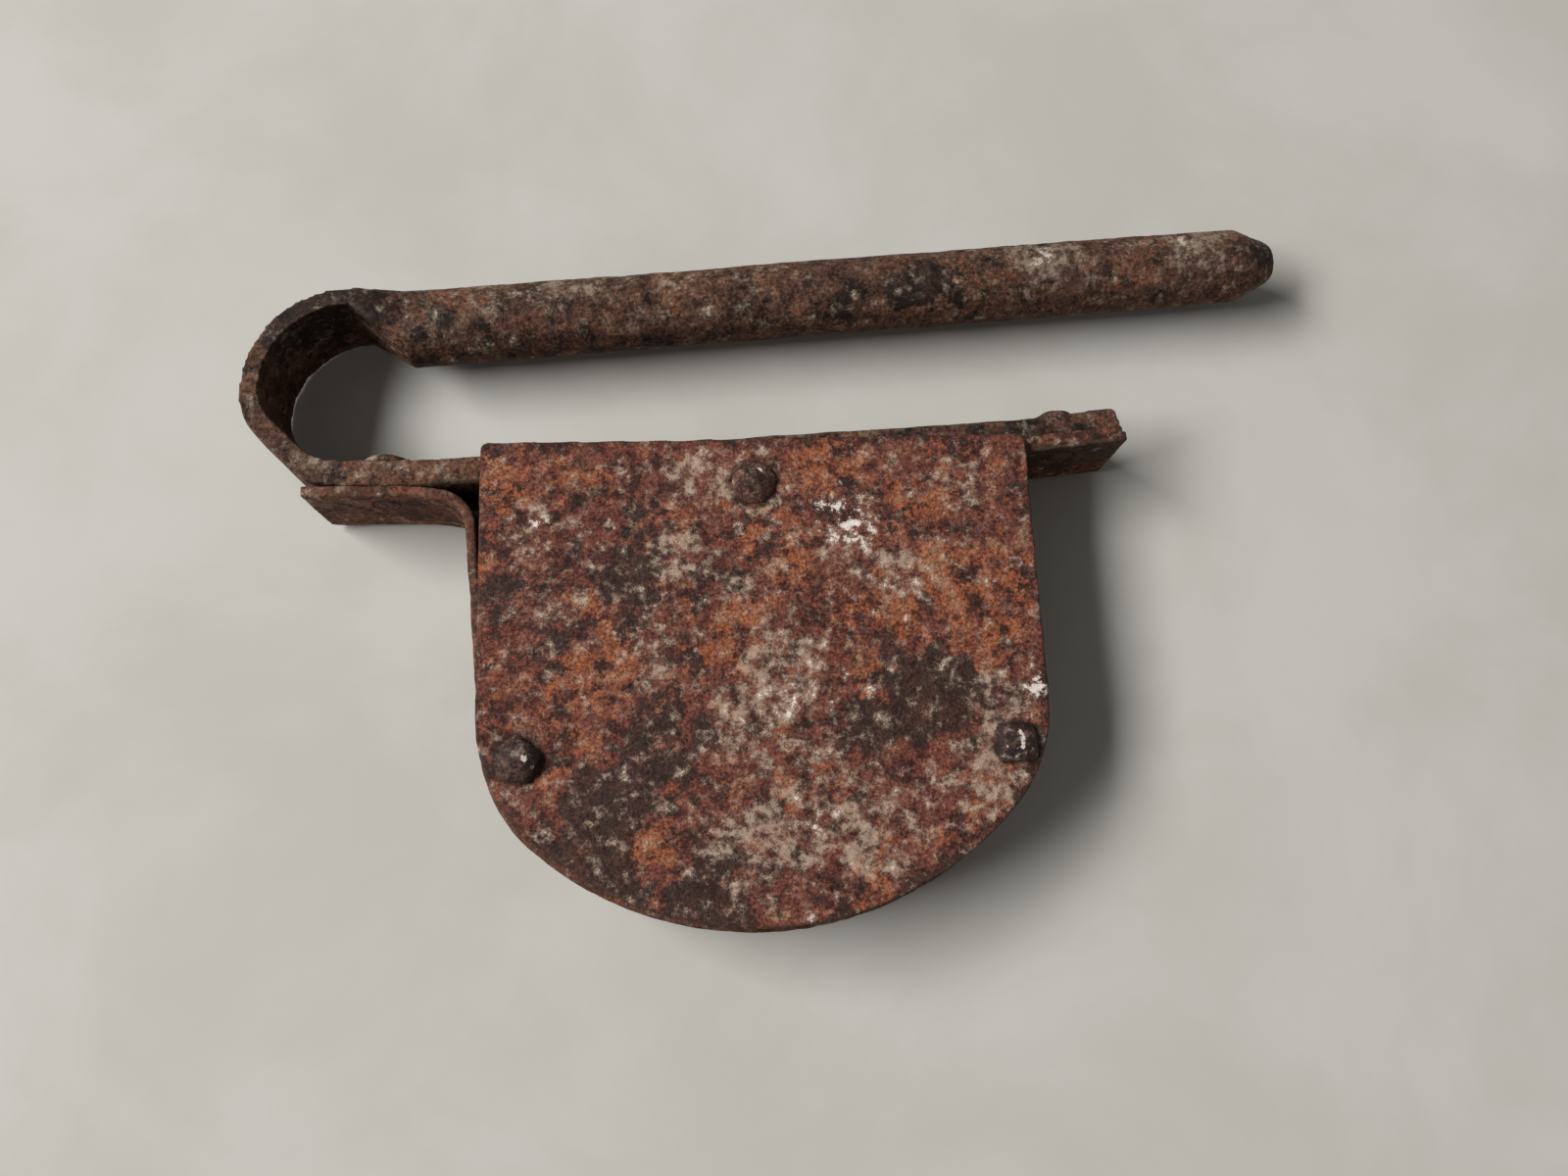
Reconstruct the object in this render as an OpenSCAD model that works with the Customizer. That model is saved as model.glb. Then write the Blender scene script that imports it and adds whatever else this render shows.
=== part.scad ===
// Hand-forged bar padlock, lying on its back plate.
// X runs along the shackle bar, Y from the foot of the case up to the bar, Z through the case.
// Units are millimetres.  Plan sizes are first laid out from the middle of the plates' top
// edge; stand() then moves everything so that the origin is under the middle of the part.

/* [Plates] */
// Width of the two D-shaped plates
plate_w = 103.7; // [90:0.1:125]
// Height of the plates, from the top edge to the foot
plate_h = 90; // [80:0.5:110]
// Thickness of each plate
plate_t = 1.8; // [1.2:0.1:3]
// Height of the straight part of the plates' sides
plate_side = 51.6; // [44:0.1:60]
// Radius of the plates' lower corners
plate_corner_r = 28; // [22:0.5:32]
// Radius of the plates' top corners
plate_top_r = 1.5; // [0.5:0.1:4]
// Angle that the plates sit askew, clockwise
plate_skew = 3.1; // [0:0.1:4]

/* [Forged strip] */
// Width of the strap and of the rim, which is the depth inside the case
strip_w = 19; // [15:0.5:24]
// Thickness of the strap along the top of the case
strap_t = 5; // [4:0.1:6]
// Height of the strap's top face over the plates' top edge
strap_rise = 1; // [0:0.1:2]
// Reach of the strap's right lug past the plates
lug_reach = 19.3; // [16:0.1:26]
// Upward bend of the right lug, in degrees
lug_bend = 3; // [1:0.5:5]
// Radius worn on the upper corner of the strap's right end
lug_corner_r = 1.4; // [0.5:0.1:2]
// Reach of the strap past the plates on the left, before the loop starts
loop_start = 10.4; // [9:0.1:14]
// Upward slope of the strap at the left rivet, in degrees
heel_bend = 3.5; // [2:0.5:5]
// Length of that sloping stretch
heel_len = 11; // [10.5:0.5:16]

/* [Loop and bar] */
// Thickness of the loop at its top
loop_t = 3.6; // [3:0.1:5]
// Radius of the loop's middle line, over its upper left quarter
loop_r = 18.5; // [15:0.5:23]
// Length of the hammered flat at the loop's lower left
loop_flat = 9.2; // [6:0.1:13]
// Diameter of the round bar
bar_d = 15; // [13:0.1:19]
// Length of the bar, from the shoulder to the tip
bar_len = 179.1; // [140:0.1:220]
// Upward slope of the bar towards its tip, in degrees
bar_slope = 1.05; // [0:0.05:2]
// Drop from the middle of the loop's end to the bar's axis
bar_drop = 3.4; // [1:0.1:5]
// Length of the forged shoulder between the loop and the bar
shoulder_len = 8.8; // [8:0.1:16]
// Length of the chamfer at the bar's tip
tip_len = 8; // [5:0.5:12]
// Diameter of the tip's end face
tip_d = 7.4; // [5:0.1:10]

/* [Rim] */
// Thickness of the rim band
rim_t = 2; // [1.2:0.1:3]
// Distance that the rim's side stays inside the plates' half width
rim_inset = 0.15; // [0:0.05:1]
// Sideways shift of the rim against the strap
rim_shift = -2.8; // [-3:0.1:-1]
// Distance that the rim stands below the plates' foot
rim_foot = 0.6; // [0:0.1:1.5]
// Outward lean of the rim's left side, in degrees
rim_lean_left = 1.5; // [0:0.5:2]
// Outward lean of the rim's right side, in degrees
rim_lean_right = 1; // [0:0.5:1]
// Bend radius where the rim turns out into the left ear, on its middle line
ear_bend_left = 7; // [5:0.5:8]
// Bend radius where the rim turns out into the right ear, on its middle line
ear_bend_right = 3.5; // [3:0.5:5]
// Reach of the left ear past the plates
ear_reach_left = 33.6; // [31:0.1:36]
// Reach of the right ear past the end of the lug
ear_over_right = 1.3; // [0:0.1:2]

/* [Rivets and pins] */
// Diameter of the rivets through the ears
ear_rivet_d = 5; // [4:0.1:6]
// Head diameter of the left ear rivet
left_head_d = 9.2; // [8:0.1:10]
// Head diameter of the right ear rivet
right_head_d = 8.4; // [7:0.1:10]
// Head height of the left ear rivet
left_head_h = 2.7; // [1:0.1:4]
// Head height of the right ear rivet
right_head_h = 2.6; // [1:0.1:4]
// Radius that the left ear rivet's crown is rounded to
left_crown_r = 9.6; // [6:0.1:12]
// Radius that the right ear rivet's crown is rounded to
right_crown_r = 5.8; // [5.5:0.1:12]
// Distance from the strap's middle line to the ear rivets, towards the plain plate
ear_rivet_shift = 3.3; // [0:0.1:3.5]
// Distance from the plates' side to the left ear rivet
left_rivet_reach = 19.1; // [18.4:0.1:19.6]
// Distance from the plates' side to the right ear rivet
right_rivet_reach = 8.4; // [8:0.1:11]
// Diameter of the three pins through the case
pin_d = 4.6; // [4:0.1:5]
// Distance from the plates' top edge to the top pin
top_pin_drop = 8.8; // [8.5:0.1:10]
// Distance from the plates' left side to the left lower pin
left_pin_inset = 8; // [8:0.1:12]
// Distance from the plates' right side to the right lower pin
right_pin_inset = 6.7; // [6.5:0.1:12]
// Sideways place of the top pin
top_pin_x = -0.7; // [-6:0.1:6]
// Distance from the plates' top edge to the lower pins
low_pin_drop = 59.7; // [52:0.1:61]
// Head diameter of the top pin
top_head_d = 8.7; // [7:0.1:10]
// Head height of the top pin
top_head_h = 1.7; // [1:0.1:2.5]
// Head size of the left lower pin, as twice the distance from its middle to a flat
left_low_head_w = 7.4; // [6:0.1:10]
// Head size of the right lower pin, as twice the distance from its middle to a flat
right_low_head_w = 7.0; // [6:0.1:10]
// Distance of the left lower pin's head off its shank, towards the plates' side
left_low_head_off = 0.5; // [0:0.1:1]
// Distance of the right lower pin's head off its shank, towards the plates' top
right_low_head_off = 0.4; // [0:0.1:1]
// Direction of a corner of the left lower pin's five-sided head, in degrees
left_low_head_turn = 10; // [0:1:72]
// Direction of a corner of the right lower pin's square head, in degrees
right_low_head_turn = 47; // [0:1:90]
// Head height of the left lower pin
left_low_head_h = 2.7; // [2:0.1:3.5]
// Head height of the right lower pin
right_low_head_h = 2.5; // [2:0.1:3.5]

/* [Lock work] */
// Height of the sliding bolt, across the case
bolt_h = 8; // [6:0.1:9.6]
// Thickness of the sliding bolt, through the case
bolt_t = 6; // [4:0.5:8]
// Distance from the plates' top edge to the bolt's middle line
bolt_drop = 19.5; // [19:0.1:22]
// Distance of the bolt's nose past the staple slot when locked
bolt_nose = 3.5; // [2:0.1:5]
// Length of the bolt
bolt_len = 65; // [60:0.5:70]
// Distance that the withdrawn nose stands clear of the staple slot
bolt_clear = 1; // [0.5:0.1:2]
// Thickness of the two upright bolt guides
guide_t = 3; // [2:0.1:4]
// Wall of the bolt guides around the window
guide_wall = 3.4; // [2.5:0.1:4]
// Width of the slot in the strap for the door staple, along the strap
staple_slot_w = 7; // [5:0.1:8]
// Length of the slot in the strap for the door staple, through the case
staple_slot_l = 13; // [9:0.1:14]
// Distance from the middle of the plates to the staple slot
staple_x = 28; // [26:0.1:32]
// Distance from the plates' top edge to the keyhole's middle
key_drop = 36; // [35:0.1:38]
// Diameter of the fixed key pin
key_pin_d = 4; // [3:0.1:5]
// Diameter of the keyhole's round part
keyhole_d = 9; // [8:0.1:10]
// Width of the keyhole's slot
keyhole_slot_w = 5; // [4.6:0.1:6]
// Radius that the key's bit sweeps
key_bit_r = 14.5; // [14:0.1:15]
// Mean radius of the two curved wards
ward_r = 8.6; // [8:0.1:10]
// Thickness of the wards
ward_t = 1.4; // [1:0.1:2]
// Height of the wards
ward_h = 4.2; // [3:0.1:5]
// Thickness of the leaf spring
spring_t = 0.8; // [0.5:0.1:1.2]
// Width of the leaf spring, through the case
spring_w = 8; // [6:0.5:10]
// Diameter of the stud that holds the leaf spring
stud_d = 6; // [5:0.1:8]

/* [Fits] */
// Radial clearance of pins and rivets in their holes
hole_fit = 0.05; // [0.02:0.01:0.2]
// Running clearance of the bolt in its guides, on each side
bolt_fit = 0.2; // [0.1:0.05:0.3]
// Gap between the bolt's ends and what stops them
stop_gap = 0.3; // [0.2:0.05:0.5]

/* [Hidden] */
$fn = 64;
eps = 0.01;
arc_step = 4;

// Levels through the case
strip_z = plate_t;
front_z = plate_t + strip_w;
case_t = front_z + plate_t;
mid_z = case_t / 2;

// ---- Paths -------------------------------------------------------------------------------
// A station is [x, y, heading, thickness].  A leg is [length, 0, end thickness] for a straight
// stretch, or [radius, turn, end thickness] for an arc, with left turns positive.

function straight(s, len, t1) =
    [for (k = [0, 1]) [s[0] + k * len * cos(s[2]), s[1] + k * len * sin(s[2]), s[2],
                       s[3] + k * (t1 - s[3])]];

function arc(s, r, turn, t1) =
    let (n = max(1, ceil(abs(turn) / arc_step)), side = sign(turn) * r)
    [for (i = [0:n]) let (h = s[2] + turn * i / n)
        [s[0] + side * (sin(h) - sin(s[2])), s[1] - side * (cos(h) - cos(s[2])), h,
         s[3] + (t1 - s[3]) * i / n]];

function leg(s, l) = l[1] == 0 ? straight(s, l[0], l[2]) : arc(s, l[0], l[1], l[2]);

function last(v) = v[len(v) - 1];

function tail(v) = [for (i = [1:1:len(v) - 1]) v[i]];

function trace(s, legs) =
    len(legs) == 0 ? [s]
    : let (p = leg(s, legs[0])) concat([for (i = [0:len(p) - 2]) p[i]], trace(last(p), tail(legs)));

function flip(path) =
    [for (i = [len(path) - 1:-1:0]) let (s = path[i]) [s[0], s[1], s[2] + 180, s[3]]];

function beside(path, side) =
    [for (s = path) [s[0] - side * s[3] / 2 * sin(s[2]), s[1] + side * s[3] / 2 * cos(s[2])]];

module strip(path, width) {
    back = beside(path, -1);
    linear_extrude(width)
        polygon(concat(beside(path, 1), [for (i = [len(back) - 1:-1:0]) back[i]]));
}

// ---- Strap, loop and shoulder ------------------------------------------------------------
half_w = plate_w / 2;
strap_mid = strap_rise - strap_t / 2;
toe_r = 40;
toe_x = half_w + 0.05;
heel_x = -half_w - loop_start;
heel_r = 32;
loop_foot_r = 6;
loop_side_r = 12;
loop_lean = 42;
loop_tilt = 15;
lug_len = (half_w + lug_reach - toe_x - toe_r * sin(lug_bend)) / cos(lug_bend);

lug_path = trace([toe_x, strap_mid, 0, strap_t],
                 [[toe_r, lug_bend, strap_t], [lug_len, 0, strap_t]]);
loop_path = trace([heel_x, strap_mid, 180, strap_t],
    [[toe_r, -heel_bend, strap_t],
     [heel_len, 0, strap_t],
     [heel_r, heel_bend - loop_tilt, strap_t],
     [1, 0, strap_t],
     [loop_foot_r, loop_tilt - 90 + loop_lean, (strap_t + loop_t) / 2 + 0.2],
     [loop_flat, 0, (strap_t + loop_t) / 2],
     [loop_side_r, -loop_lean, loop_t],
     [loop_r, -90, loop_t],
     [1, 0, loop_t]]);
strap_path = concat(flip(lug_path), loop_path);
loop_end = last(loop_path);
loop_left = loop_end[0] - 1 - loop_r - loop_t / 2;

// The straight stretches of the strap's underside that the ears lie against
heel_start = [heel_x - toe_r * sin(heel_bend), strap_mid + toe_r * (1 - cos(heel_bend))];
heel_dir = 180 - heel_bend;
toe_end = last(lug_path);

// ---- Bar ---------------------------------------------------------------------------------
bar_x = loop_end[0] + shoulder_len;
bar_y = loop_end[1] - bar_drop;
bar_z = strip_z + strip_w / 2;
bar_r = bar_d / 2;
shoulder_lap = 0.3;
bar_tip_x = bar_x + bar_len * cos(bar_slope) + tip_d / 2 * sin(bar_slope);
bar_top_y = bar_y + (bar_len - tip_len) * sin(bar_slope) + bar_r * cos(bar_slope);

// ---- D shape: rim's middle line ----------------------------------------------------------
// An outline of two straight sides, two corner arcs and one wide arc across the foot.
function foot_radius(half, drop, corner) =
    (pow(half - corner, 2) + drop * drop - corner * corner) / (2 * (drop - corner));
function foot_angle(half, drop, corner) =
    atan2(half - corner, foot_radius(half, drop, corner) - drop);

rim_half = half_w - rim_inset - rim_t / 2;
rim_side = plate_side + 1.2;
rim_drop = plate_h + rim_foot - rim_t / 2 - rim_side;
rim_corner = plate_corner_r - rim_t / 2;
rim_foot_r = foot_radius(rim_half, rim_drop, rim_corner);
rim_foot_a = foot_angle(rim_half, rim_drop, rim_corner);

rim_corner_x = rim_shift + rim_half - rim_corner;

// Height of point p over the line through q with heading h
function over(p, q, h) = (p[1] - q[1]) * cos(h) - (p[0] - q[0]) * sin(h);

// Foot of the rim, from its right side round to its left side
rim_start = [rim_corner_x + rim_corner * cos(rim_lean_right),
             -rim_side - rim_corner * sin(rim_lean_right), 270 - rim_lean_right, rim_t];
foot_path = trace(rim_start,
    [[rim_corner, rim_foot_a - 90 + rim_lean_right, rim_t],
     [rim_foot_r, -rim_foot_a, rim_t],
     [rim_foot_r, -rim_foot_a, rim_t],
     [rim_corner, rim_foot_a - 90 + rim_lean_left, rim_t]]);

// Middle line of an ear, measured from the middle line of the strap that it lies against
ear_gap = strap_t / 2 + rim_t / 2;

// Left side and ear: up the side, out round the bend, then up to the strap and along it.
settle = 8.5;
settle_r = 30;
left_dir = 90 + rim_lean_left;
left_bend = [[ear_bend_left, heel_dir - settle - left_dir, rim_t],
             [3, 0, rim_t],
             [settle_r, settle, rim_t]];
left_start = last(foot_path);
left_low = last(trace(left_start, left_bend));
left_side = (over(left_low, heel_start, heel_dir) - ear_gap) / sin(heel_dir - left_dir);
left_ear_len = (left_low[0] + left_side * cos(left_dir) + half_w + ear_reach_left)
               / cos(heel_bend);
left_path = trace(left_start,
                  concat([[left_side, 0, rim_t]], left_bend, [[left_ear_len, 0, rim_t]]));

// Right side and ear: up the side, then out round a tight bend and along the lug.
right_dir = 90 - rim_lean_right;
right_bend = [[ear_bend_right, lug_bend - right_dir, rim_t]];
right_start = [rim_start[0], rim_start[1], right_dir, rim_t];
right_low = last(trace(right_start, right_bend));
right_side = (-ear_gap - over(right_low, toe_end, lug_bend)) / sin(right_dir - lug_bend);
right_ear_len = (half_w + lug_reach + ear_over_right
                 - right_low[0] - right_side * cos(right_dir)) / cos(lug_bend);
right_path = trace(right_start,
                   concat([[right_side, 0, rim_t]], right_bend, [[right_ear_len, 0, rim_t]]));

rim_path = concat(flip(right_path), tail(foot_path), tail(left_path));

// ---- Lock work ---------------------------------------------------------------------------
key_at = [-key_drop * sin(plate_skew), -key_drop * cos(plate_skew)];
bolt_y = -bolt_drop;
slot_left = staple_x - staple_slot_w / 2;
nose_x = staple_x + staple_slot_w / 2 + bolt_nose;
tail_x = nose_x - bolt_len;
bolt_travel = nose_x - slot_left + bolt_clear;
right_guide_x = slot_left - 8.5;
left_guide_x = tail_x + 4;
guide_h = bolt_h + 2 * guide_wall;
guide_top = mid_z + bolt_t / 2 + guide_wall;
tenon_w = 4;
lug_w = 4;
lug_h = 3;
notch_w = 7.3;
notch_x = key_at[0] + 4.2;
notch_top = key_at[1] + key_bit_r + 1;

// Leaf spring: an arc that ends upright against the bolt's tail
spring_root = [9.5 - half_w, -43];
spring_tip = [tail_x - spring_t / 2 - stop_gap, bolt_y - 3];
spring_chord = atan2(spring_tip[1] - spring_root[1], spring_tip[0] - spring_root[0]);
spring_dir = 2 * spring_chord - 90;
spring_r = norm(spring_tip - spring_root) / (2 * sin(90 - spring_chord));
root_len = stud_d / 2 + 0.5;
stud_at = spring_root - root_len * [cos(spring_dir), sin(spring_dir)];
spring_start = [stud_at[0] - stud_d / 2 * cos(spring_dir),
                stud_at[1] - stud_d / 2 * sin(spring_dir), spring_dir, spring_t];
spring_path = trace(spring_start, [[root_len + stud_d / 2, 0, spring_t],
                                   [spring_r, 90 - spring_dir, spring_t],
                                   [5, 0, spring_t]]);
stud_top = mid_z + spring_w / 2 + 2;
tail_d = 3;

// ---- Place of the whole part -------------------------------------------------------------
middle = [(loop_left + bar_tip_x) / 2, (bar_top_y - plate_h - rim_foot) / 2];

module stand() {
    translate([-middle[0], -middle[1], 0]) children();
}

// ---- Shared shapes -----------------------------------------------------------------------
// A round head of radius r and height h, standing on Z = 0, its top rounded to radius crown
module round_head(r, h, crown) {
    intersection() {
        translate([0, 0, h - crown]) sphere(crown);
        cylinder(h = h, r = r);
    }
}

// A low dome of radius r and height h, rounded all the way down to Z = 0
module dome(r, h) {
    round_head(r, h, (r * r + h * h) / (2 * h));
}

// A hammered head with so many flats and its corners rounded over; one corner points along turn
module hammered_head(flats, w, h, turn) {
    ball = 0.82 * w;
    intersection() {
        rotate(turn) cylinder(h = h, r = w / 2 / cos(180 / flats), $fn = flats);
        translate([0, 0, h - ball]) sphere(ball);
    }
}

// Places in the plates' own askew frame
module askew() {
    rotate(-plate_skew) children();
}

module at_top_pin() {
    askew() translate([top_pin_x, -top_pin_drop, 0]) children();
}

module at_left_pin() {
    askew() translate([left_pin_inset - half_w, -low_pin_drop, 0]) children();
}

module at_right_pin() {
    askew() translate([half_w - right_pin_inset, -low_pin_drop, 0]) children();
}

// Places on the strap's middle line, with Z pointing out of its top face
module at_left_rivet() {
    along = (half_w + left_rivet_reach + heel_start[0]) / cos(heel_bend);
    translate([heel_start[0] - along * cos(heel_bend), heel_start[1] + along * sin(heel_bend),
               bar_z + ear_rivet_shift])
        rotate([0, 0, -heel_bend]) rotate([-90, 0, 0]) children();
}

module at_right_rivet() {
    along = (half_w + right_rivet_reach - toe_end[0]) / cos(lug_bend);
    translate([toe_end[0] + along * cos(lug_bend), toe_end[1] + along * sin(lug_bend),
               bar_z + ear_rivet_shift])
        rotate([0, 0, lug_bend]) rotate([-90, 0, 0]) children();
}

module ear_rivet_hole() {
    through = strap_t + 2 * rim_t;
    translate([0, 0, -through]) cylinder(h = 2 * through, d = ear_rivet_d + 2 * hole_fit);
}

module ear_rivet(head_d, head_h, crown) {
    foot = strap_t / 2 + rim_t;
    translate([0, 0, -foot]) cylinder(h = foot + strap_t / 2, d = ear_rivet_d);
    translate([0, 0, strap_t / 2]) round_head(head_d / 2, head_h, crown);
}

module plate_outline() {
    drop = plate_h - plate_side;
    foot_r = foot_radius(half_w, drop, plate_corner_r);
    foot_a = foot_angle(half_w, drop, plate_corner_r);
    outline = trace([plate_top_r - half_w, 0, 0, 0],
        [[plate_w - 2 * plate_top_r, 0, 0], [plate_top_r, -90, 0],
         [plate_side - plate_top_r, 0, 0], [plate_corner_r, foot_a - 90, 0],
         [foot_r, -foot_a, 0], [foot_r, -foot_a, 0],
         [plate_corner_r, foot_a - 90, 0], [plate_side - plate_top_r, 0, 0],
         [plate_top_r, -90, 0]]);
    polygon([for (i = [0:len(outline) - 2]) [outline[i][0], outline[i][1]]]);
}

// One plate blank with the three pin holes, standing on Z = 0
module plate_blank() {
    difference() {
        askew() linear_extrude(plate_t) plate_outline();
        at_top_pin() pin_hole(pin_d);
        at_left_pin() pin_hole(pin_d);
        at_right_pin() pin_hole(pin_d);
    }
}

module pin_hole(d) {
    translate([0, 0, -1]) cylinder(h = plate_t + 2, d = d + 2 * hole_fit);
}

module guide_tenons(x, grow) {
    for (side = [-1, 1])
        translate([x - grow, bolt_y + side * (guide_h - tenon_w) / 2 - tenon_w / 2 - grow, -grow])
            cube([guide_t + 2 * grow, tenon_w + 2 * grow, plate_t + 2 * grow]);
}

// Part of a ring round the key pin, open over the keyhole's slot
module ward_ring(r, t, h, open) {
    translate([key_at[0], key_at[1], 0])
        rotate(open / 2 - 90)
            rotate_extrude(angle = 360 - open) translate([r - t / 2, 0]) square([t, h]);
}

module ward_tenons(grow) {
    for (a = [20, 160])
        translate([key_at[0] + ward_r * cos(a), key_at[1] + ward_r * sin(a), -grow])
            rotate(a) translate([-ward_t / 2 - grow, -1.5 - grow, 0])
                cube([ward_t + 2 * grow, 3 + 2 * grow, plate_t + 2 * grow]);
}

// What is cut away to round the upper corner of the strap's right end
module lug_corner_cut() {
    over_cut = 1;
    translate([toe_end[0], toe_end[1], 0]) rotate(lug_bend)
        translate([-lug_corner_r, strap_t / 2 - lug_corner_r, strip_z - over_cut])
            difference() {
                cube([lug_corner_r + over_cut, lug_corner_r + over_cut, strip_w + 2 * over_cut]);
                cylinder(h = strip_w + 2 * over_cut, r = lug_corner_r);
            }
}

// ---- Pieces ------------------------------------------------------------------------------
module shackle_bar() color("#4a3830") stand() {
    difference() {
        translate([0, 0, strip_z]) strip(strap_path, strip_w);
        at_left_rivet() ear_rivet_hole();
        at_right_rivet() ear_rivet_hole();
        translate([slot_left, strap_mid - strap_t, bar_z - staple_slot_l / 2])
            cube([staple_slot_w, 2 * strap_t, staple_slot_l]);
        lug_corner_cut();
    }
    hull($fn = 32) {
        translate([loop_end[0] - 0.5, loop_end[1] - loop_t / 2, strip_z])
            cube([0.5, loop_t, strip_w]);
        translate([bar_x, bar_y, bar_z]) rotate([0, 0, bar_slope]) rotate([0, 90, 0])
            cylinder(h = shoulder_lap, r = bar_r - 0.05, $fn = 32);
    }
    translate([bar_x, bar_y, bar_z]) rotate([0, 0, bar_slope]) rotate([0, 90, 0])
        rotate_extrude()
            polygon([[0, 0], [bar_r, 0], [bar_r, bar_len - tip_len],
                     [tip_d / 2 + 0.8, bar_len - 1.2], [tip_d / 2, bar_len], [0, bar_len]]);
}

module rim_band() color("#5f4332") stand()
    difference() {
        translate([0, 0, strip_z]) strip(rim_path, strip_w);
        at_left_rivet() ear_rivet_hole();
        at_right_rivet() ear_rivet_hole();
    }

module plain_plate() color("#7d4630") stand()
    translate([0, 0, front_z]) difference() {
        plate_blank();
        translate([key_at[0], key_at[1], 0]) pin_hole(tail_d);
    }

module keyhole_plate() color("#6f4431") stand()
    difference() {
        plate_blank();
        translate([key_at[0], key_at[1], -1]) {
            cylinder(h = plate_t + 2, d = keyhole_d);
            translate([-keyhole_slot_w / 2, -key_bit_r - 0.8, 0])
                cube([keyhole_slot_w, key_bit_r + 0.8, plate_t + 2]);
        }
        guide_tenons(left_guide_x, hole_fit);
        guide_tenons(right_guide_x, hole_fit);
        ward_tenons(hole_fit);
        translate([stud_at[0], stud_at[1], 0]) pin_hole(tail_d);
    }

module left_ear_rivet() color("#3c302b") stand() at_left_rivet()
    ear_rivet(left_head_d, left_head_h, left_crown_r);

module right_ear_rivet() color("#3c302b") stand() at_right_rivet()
    ear_rivet(right_head_d, right_head_h, right_crown_r);

module top_case_pin() color("#55392d") stand() at_top_pin() {
    cylinder(h = case_t, d = pin_d);
    translate([0, 0, case_t]) dome(top_head_d / 2, top_head_h);
}

module left_case_pin() color("#2f2a2b") stand() at_left_pin() {
    cylinder(h = case_t, d = pin_d);
    translate([-left_low_head_off, 0, case_t])
        hammered_head(5, left_low_head_w, left_low_head_h, left_low_head_turn);
}

module right_case_pin() color("#2f2a2b") stand() at_right_pin() {
    cylinder(h = case_t, d = pin_d);
    translate([0, right_low_head_off, case_t])
        hammered_head(4, right_low_head_w, right_low_head_h, right_low_head_turn);
}

module lock_bolt() color("#5b5450") stand()
    difference() {
        union() {
            translate([tail_x, bolt_y - bolt_h / 2, mid_z - bolt_t / 2])
                cube([bolt_len, bolt_h, bolt_t]);
            translate([right_guide_x - stop_gap - lug_w, bolt_y, mid_z - bolt_t / 2])
                cube([lug_w, bolt_h / 2 + lug_h, bolt_t]);
        }
        translate([notch_x, notch_top - 2 * bolt_h, mid_z - bolt_t])
            cube([notch_w, 2 * bolt_h, 2 * bolt_t]);
    }

module bolt_guide(x) {
    difference() {
        translate([x, bolt_y - guide_h / 2, plate_t]) cube([guide_t, guide_h, guide_top - plate_t]);
        translate([x - 1, bolt_y - bolt_h / 2 - bolt_fit, mid_z - bolt_t / 2 - bolt_fit])
            cube([guide_t + 2, bolt_h + 2 * bolt_fit, bolt_t + 2 * bolt_fit]);
    }
    guide_tenons(x, 0);
}

module left_bolt_guide() color("#5a4a42") stand() bolt_guide(left_guide_x);

module right_bolt_guide() color("#5a4a42") stand() bolt_guide(right_guide_x);

module bolt_spring() color("#4f4a4c") stand()
    translate([0, 0, mid_z - spring_w / 2]) strip(spring_path, spring_w);

module spring_stud() color("#5a4a42") stand()
    difference() {
        translate([stud_at[0], stud_at[1], 0]) {
            cylinder(h = plate_t + eps, d = tail_d);
            translate([0, 0, plate_t]) cylinder(h = stud_top - plate_t, d = stud_d);
        }
        translate([stud_at[0], stud_at[1], mid_z - spring_w / 2]) rotate(spring_dir)
            translate([-stud_d, -spring_t / 2 - hole_fit, 0])
                cube([2 * stud_d, spring_t + 2 * hole_fit, stud_d + spring_w]);
    }

module key_pin() color("#5a4a42") stand() translate([key_at[0], key_at[1], 0]) {
    translate([0, 0, plate_t / 2]) cylinder(h = front_z - plate_t / 2, d = key_pin_d);
    translate([0, 0, front_z - eps]) cylinder(h = plate_t + eps, d = tail_d);
}

module keyhole_ward() color("#5a4a42") stand() {
    translate([0, 0, plate_t]) ward_ring(ward_r, ward_t, ward_h, 70);
    ward_tenons(0);
}

module inner_ward() color("#5a4a42") stand()
    translate([0, 0, front_z - ward_h]) ward_ring(ward_r + 2.4, ward_t, ward_h, 70);

shackle_bar();
rim_band();
plain_plate();
keyhole_plate();
left_ear_rivet();
right_ear_rivet();
top_case_pin();
left_case_pin();
right_case_pin();
lock_bolt();
left_bolt_guide();
right_bolt_guide();
bolt_spring();
spring_stud();
key_pin();
keyhole_ward();
inner_ward();
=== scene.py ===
"""Looks of an old rusty bar padlock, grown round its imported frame.

Every outer piece is a worn skin grown from the frame's own solid, so it stays where the frame
puts it. The hidden lock work keeps the frame's solids and takes finishes of its own. Lengths are
in metres unless a name ends in _mm.
"""

import itertools
import logging
import math
from dataclasses import dataclass
from enum import Enum
from typing import Union

import bmesh
import bpy
import numpy as np
from mathutils import Matrix, Vector


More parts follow.
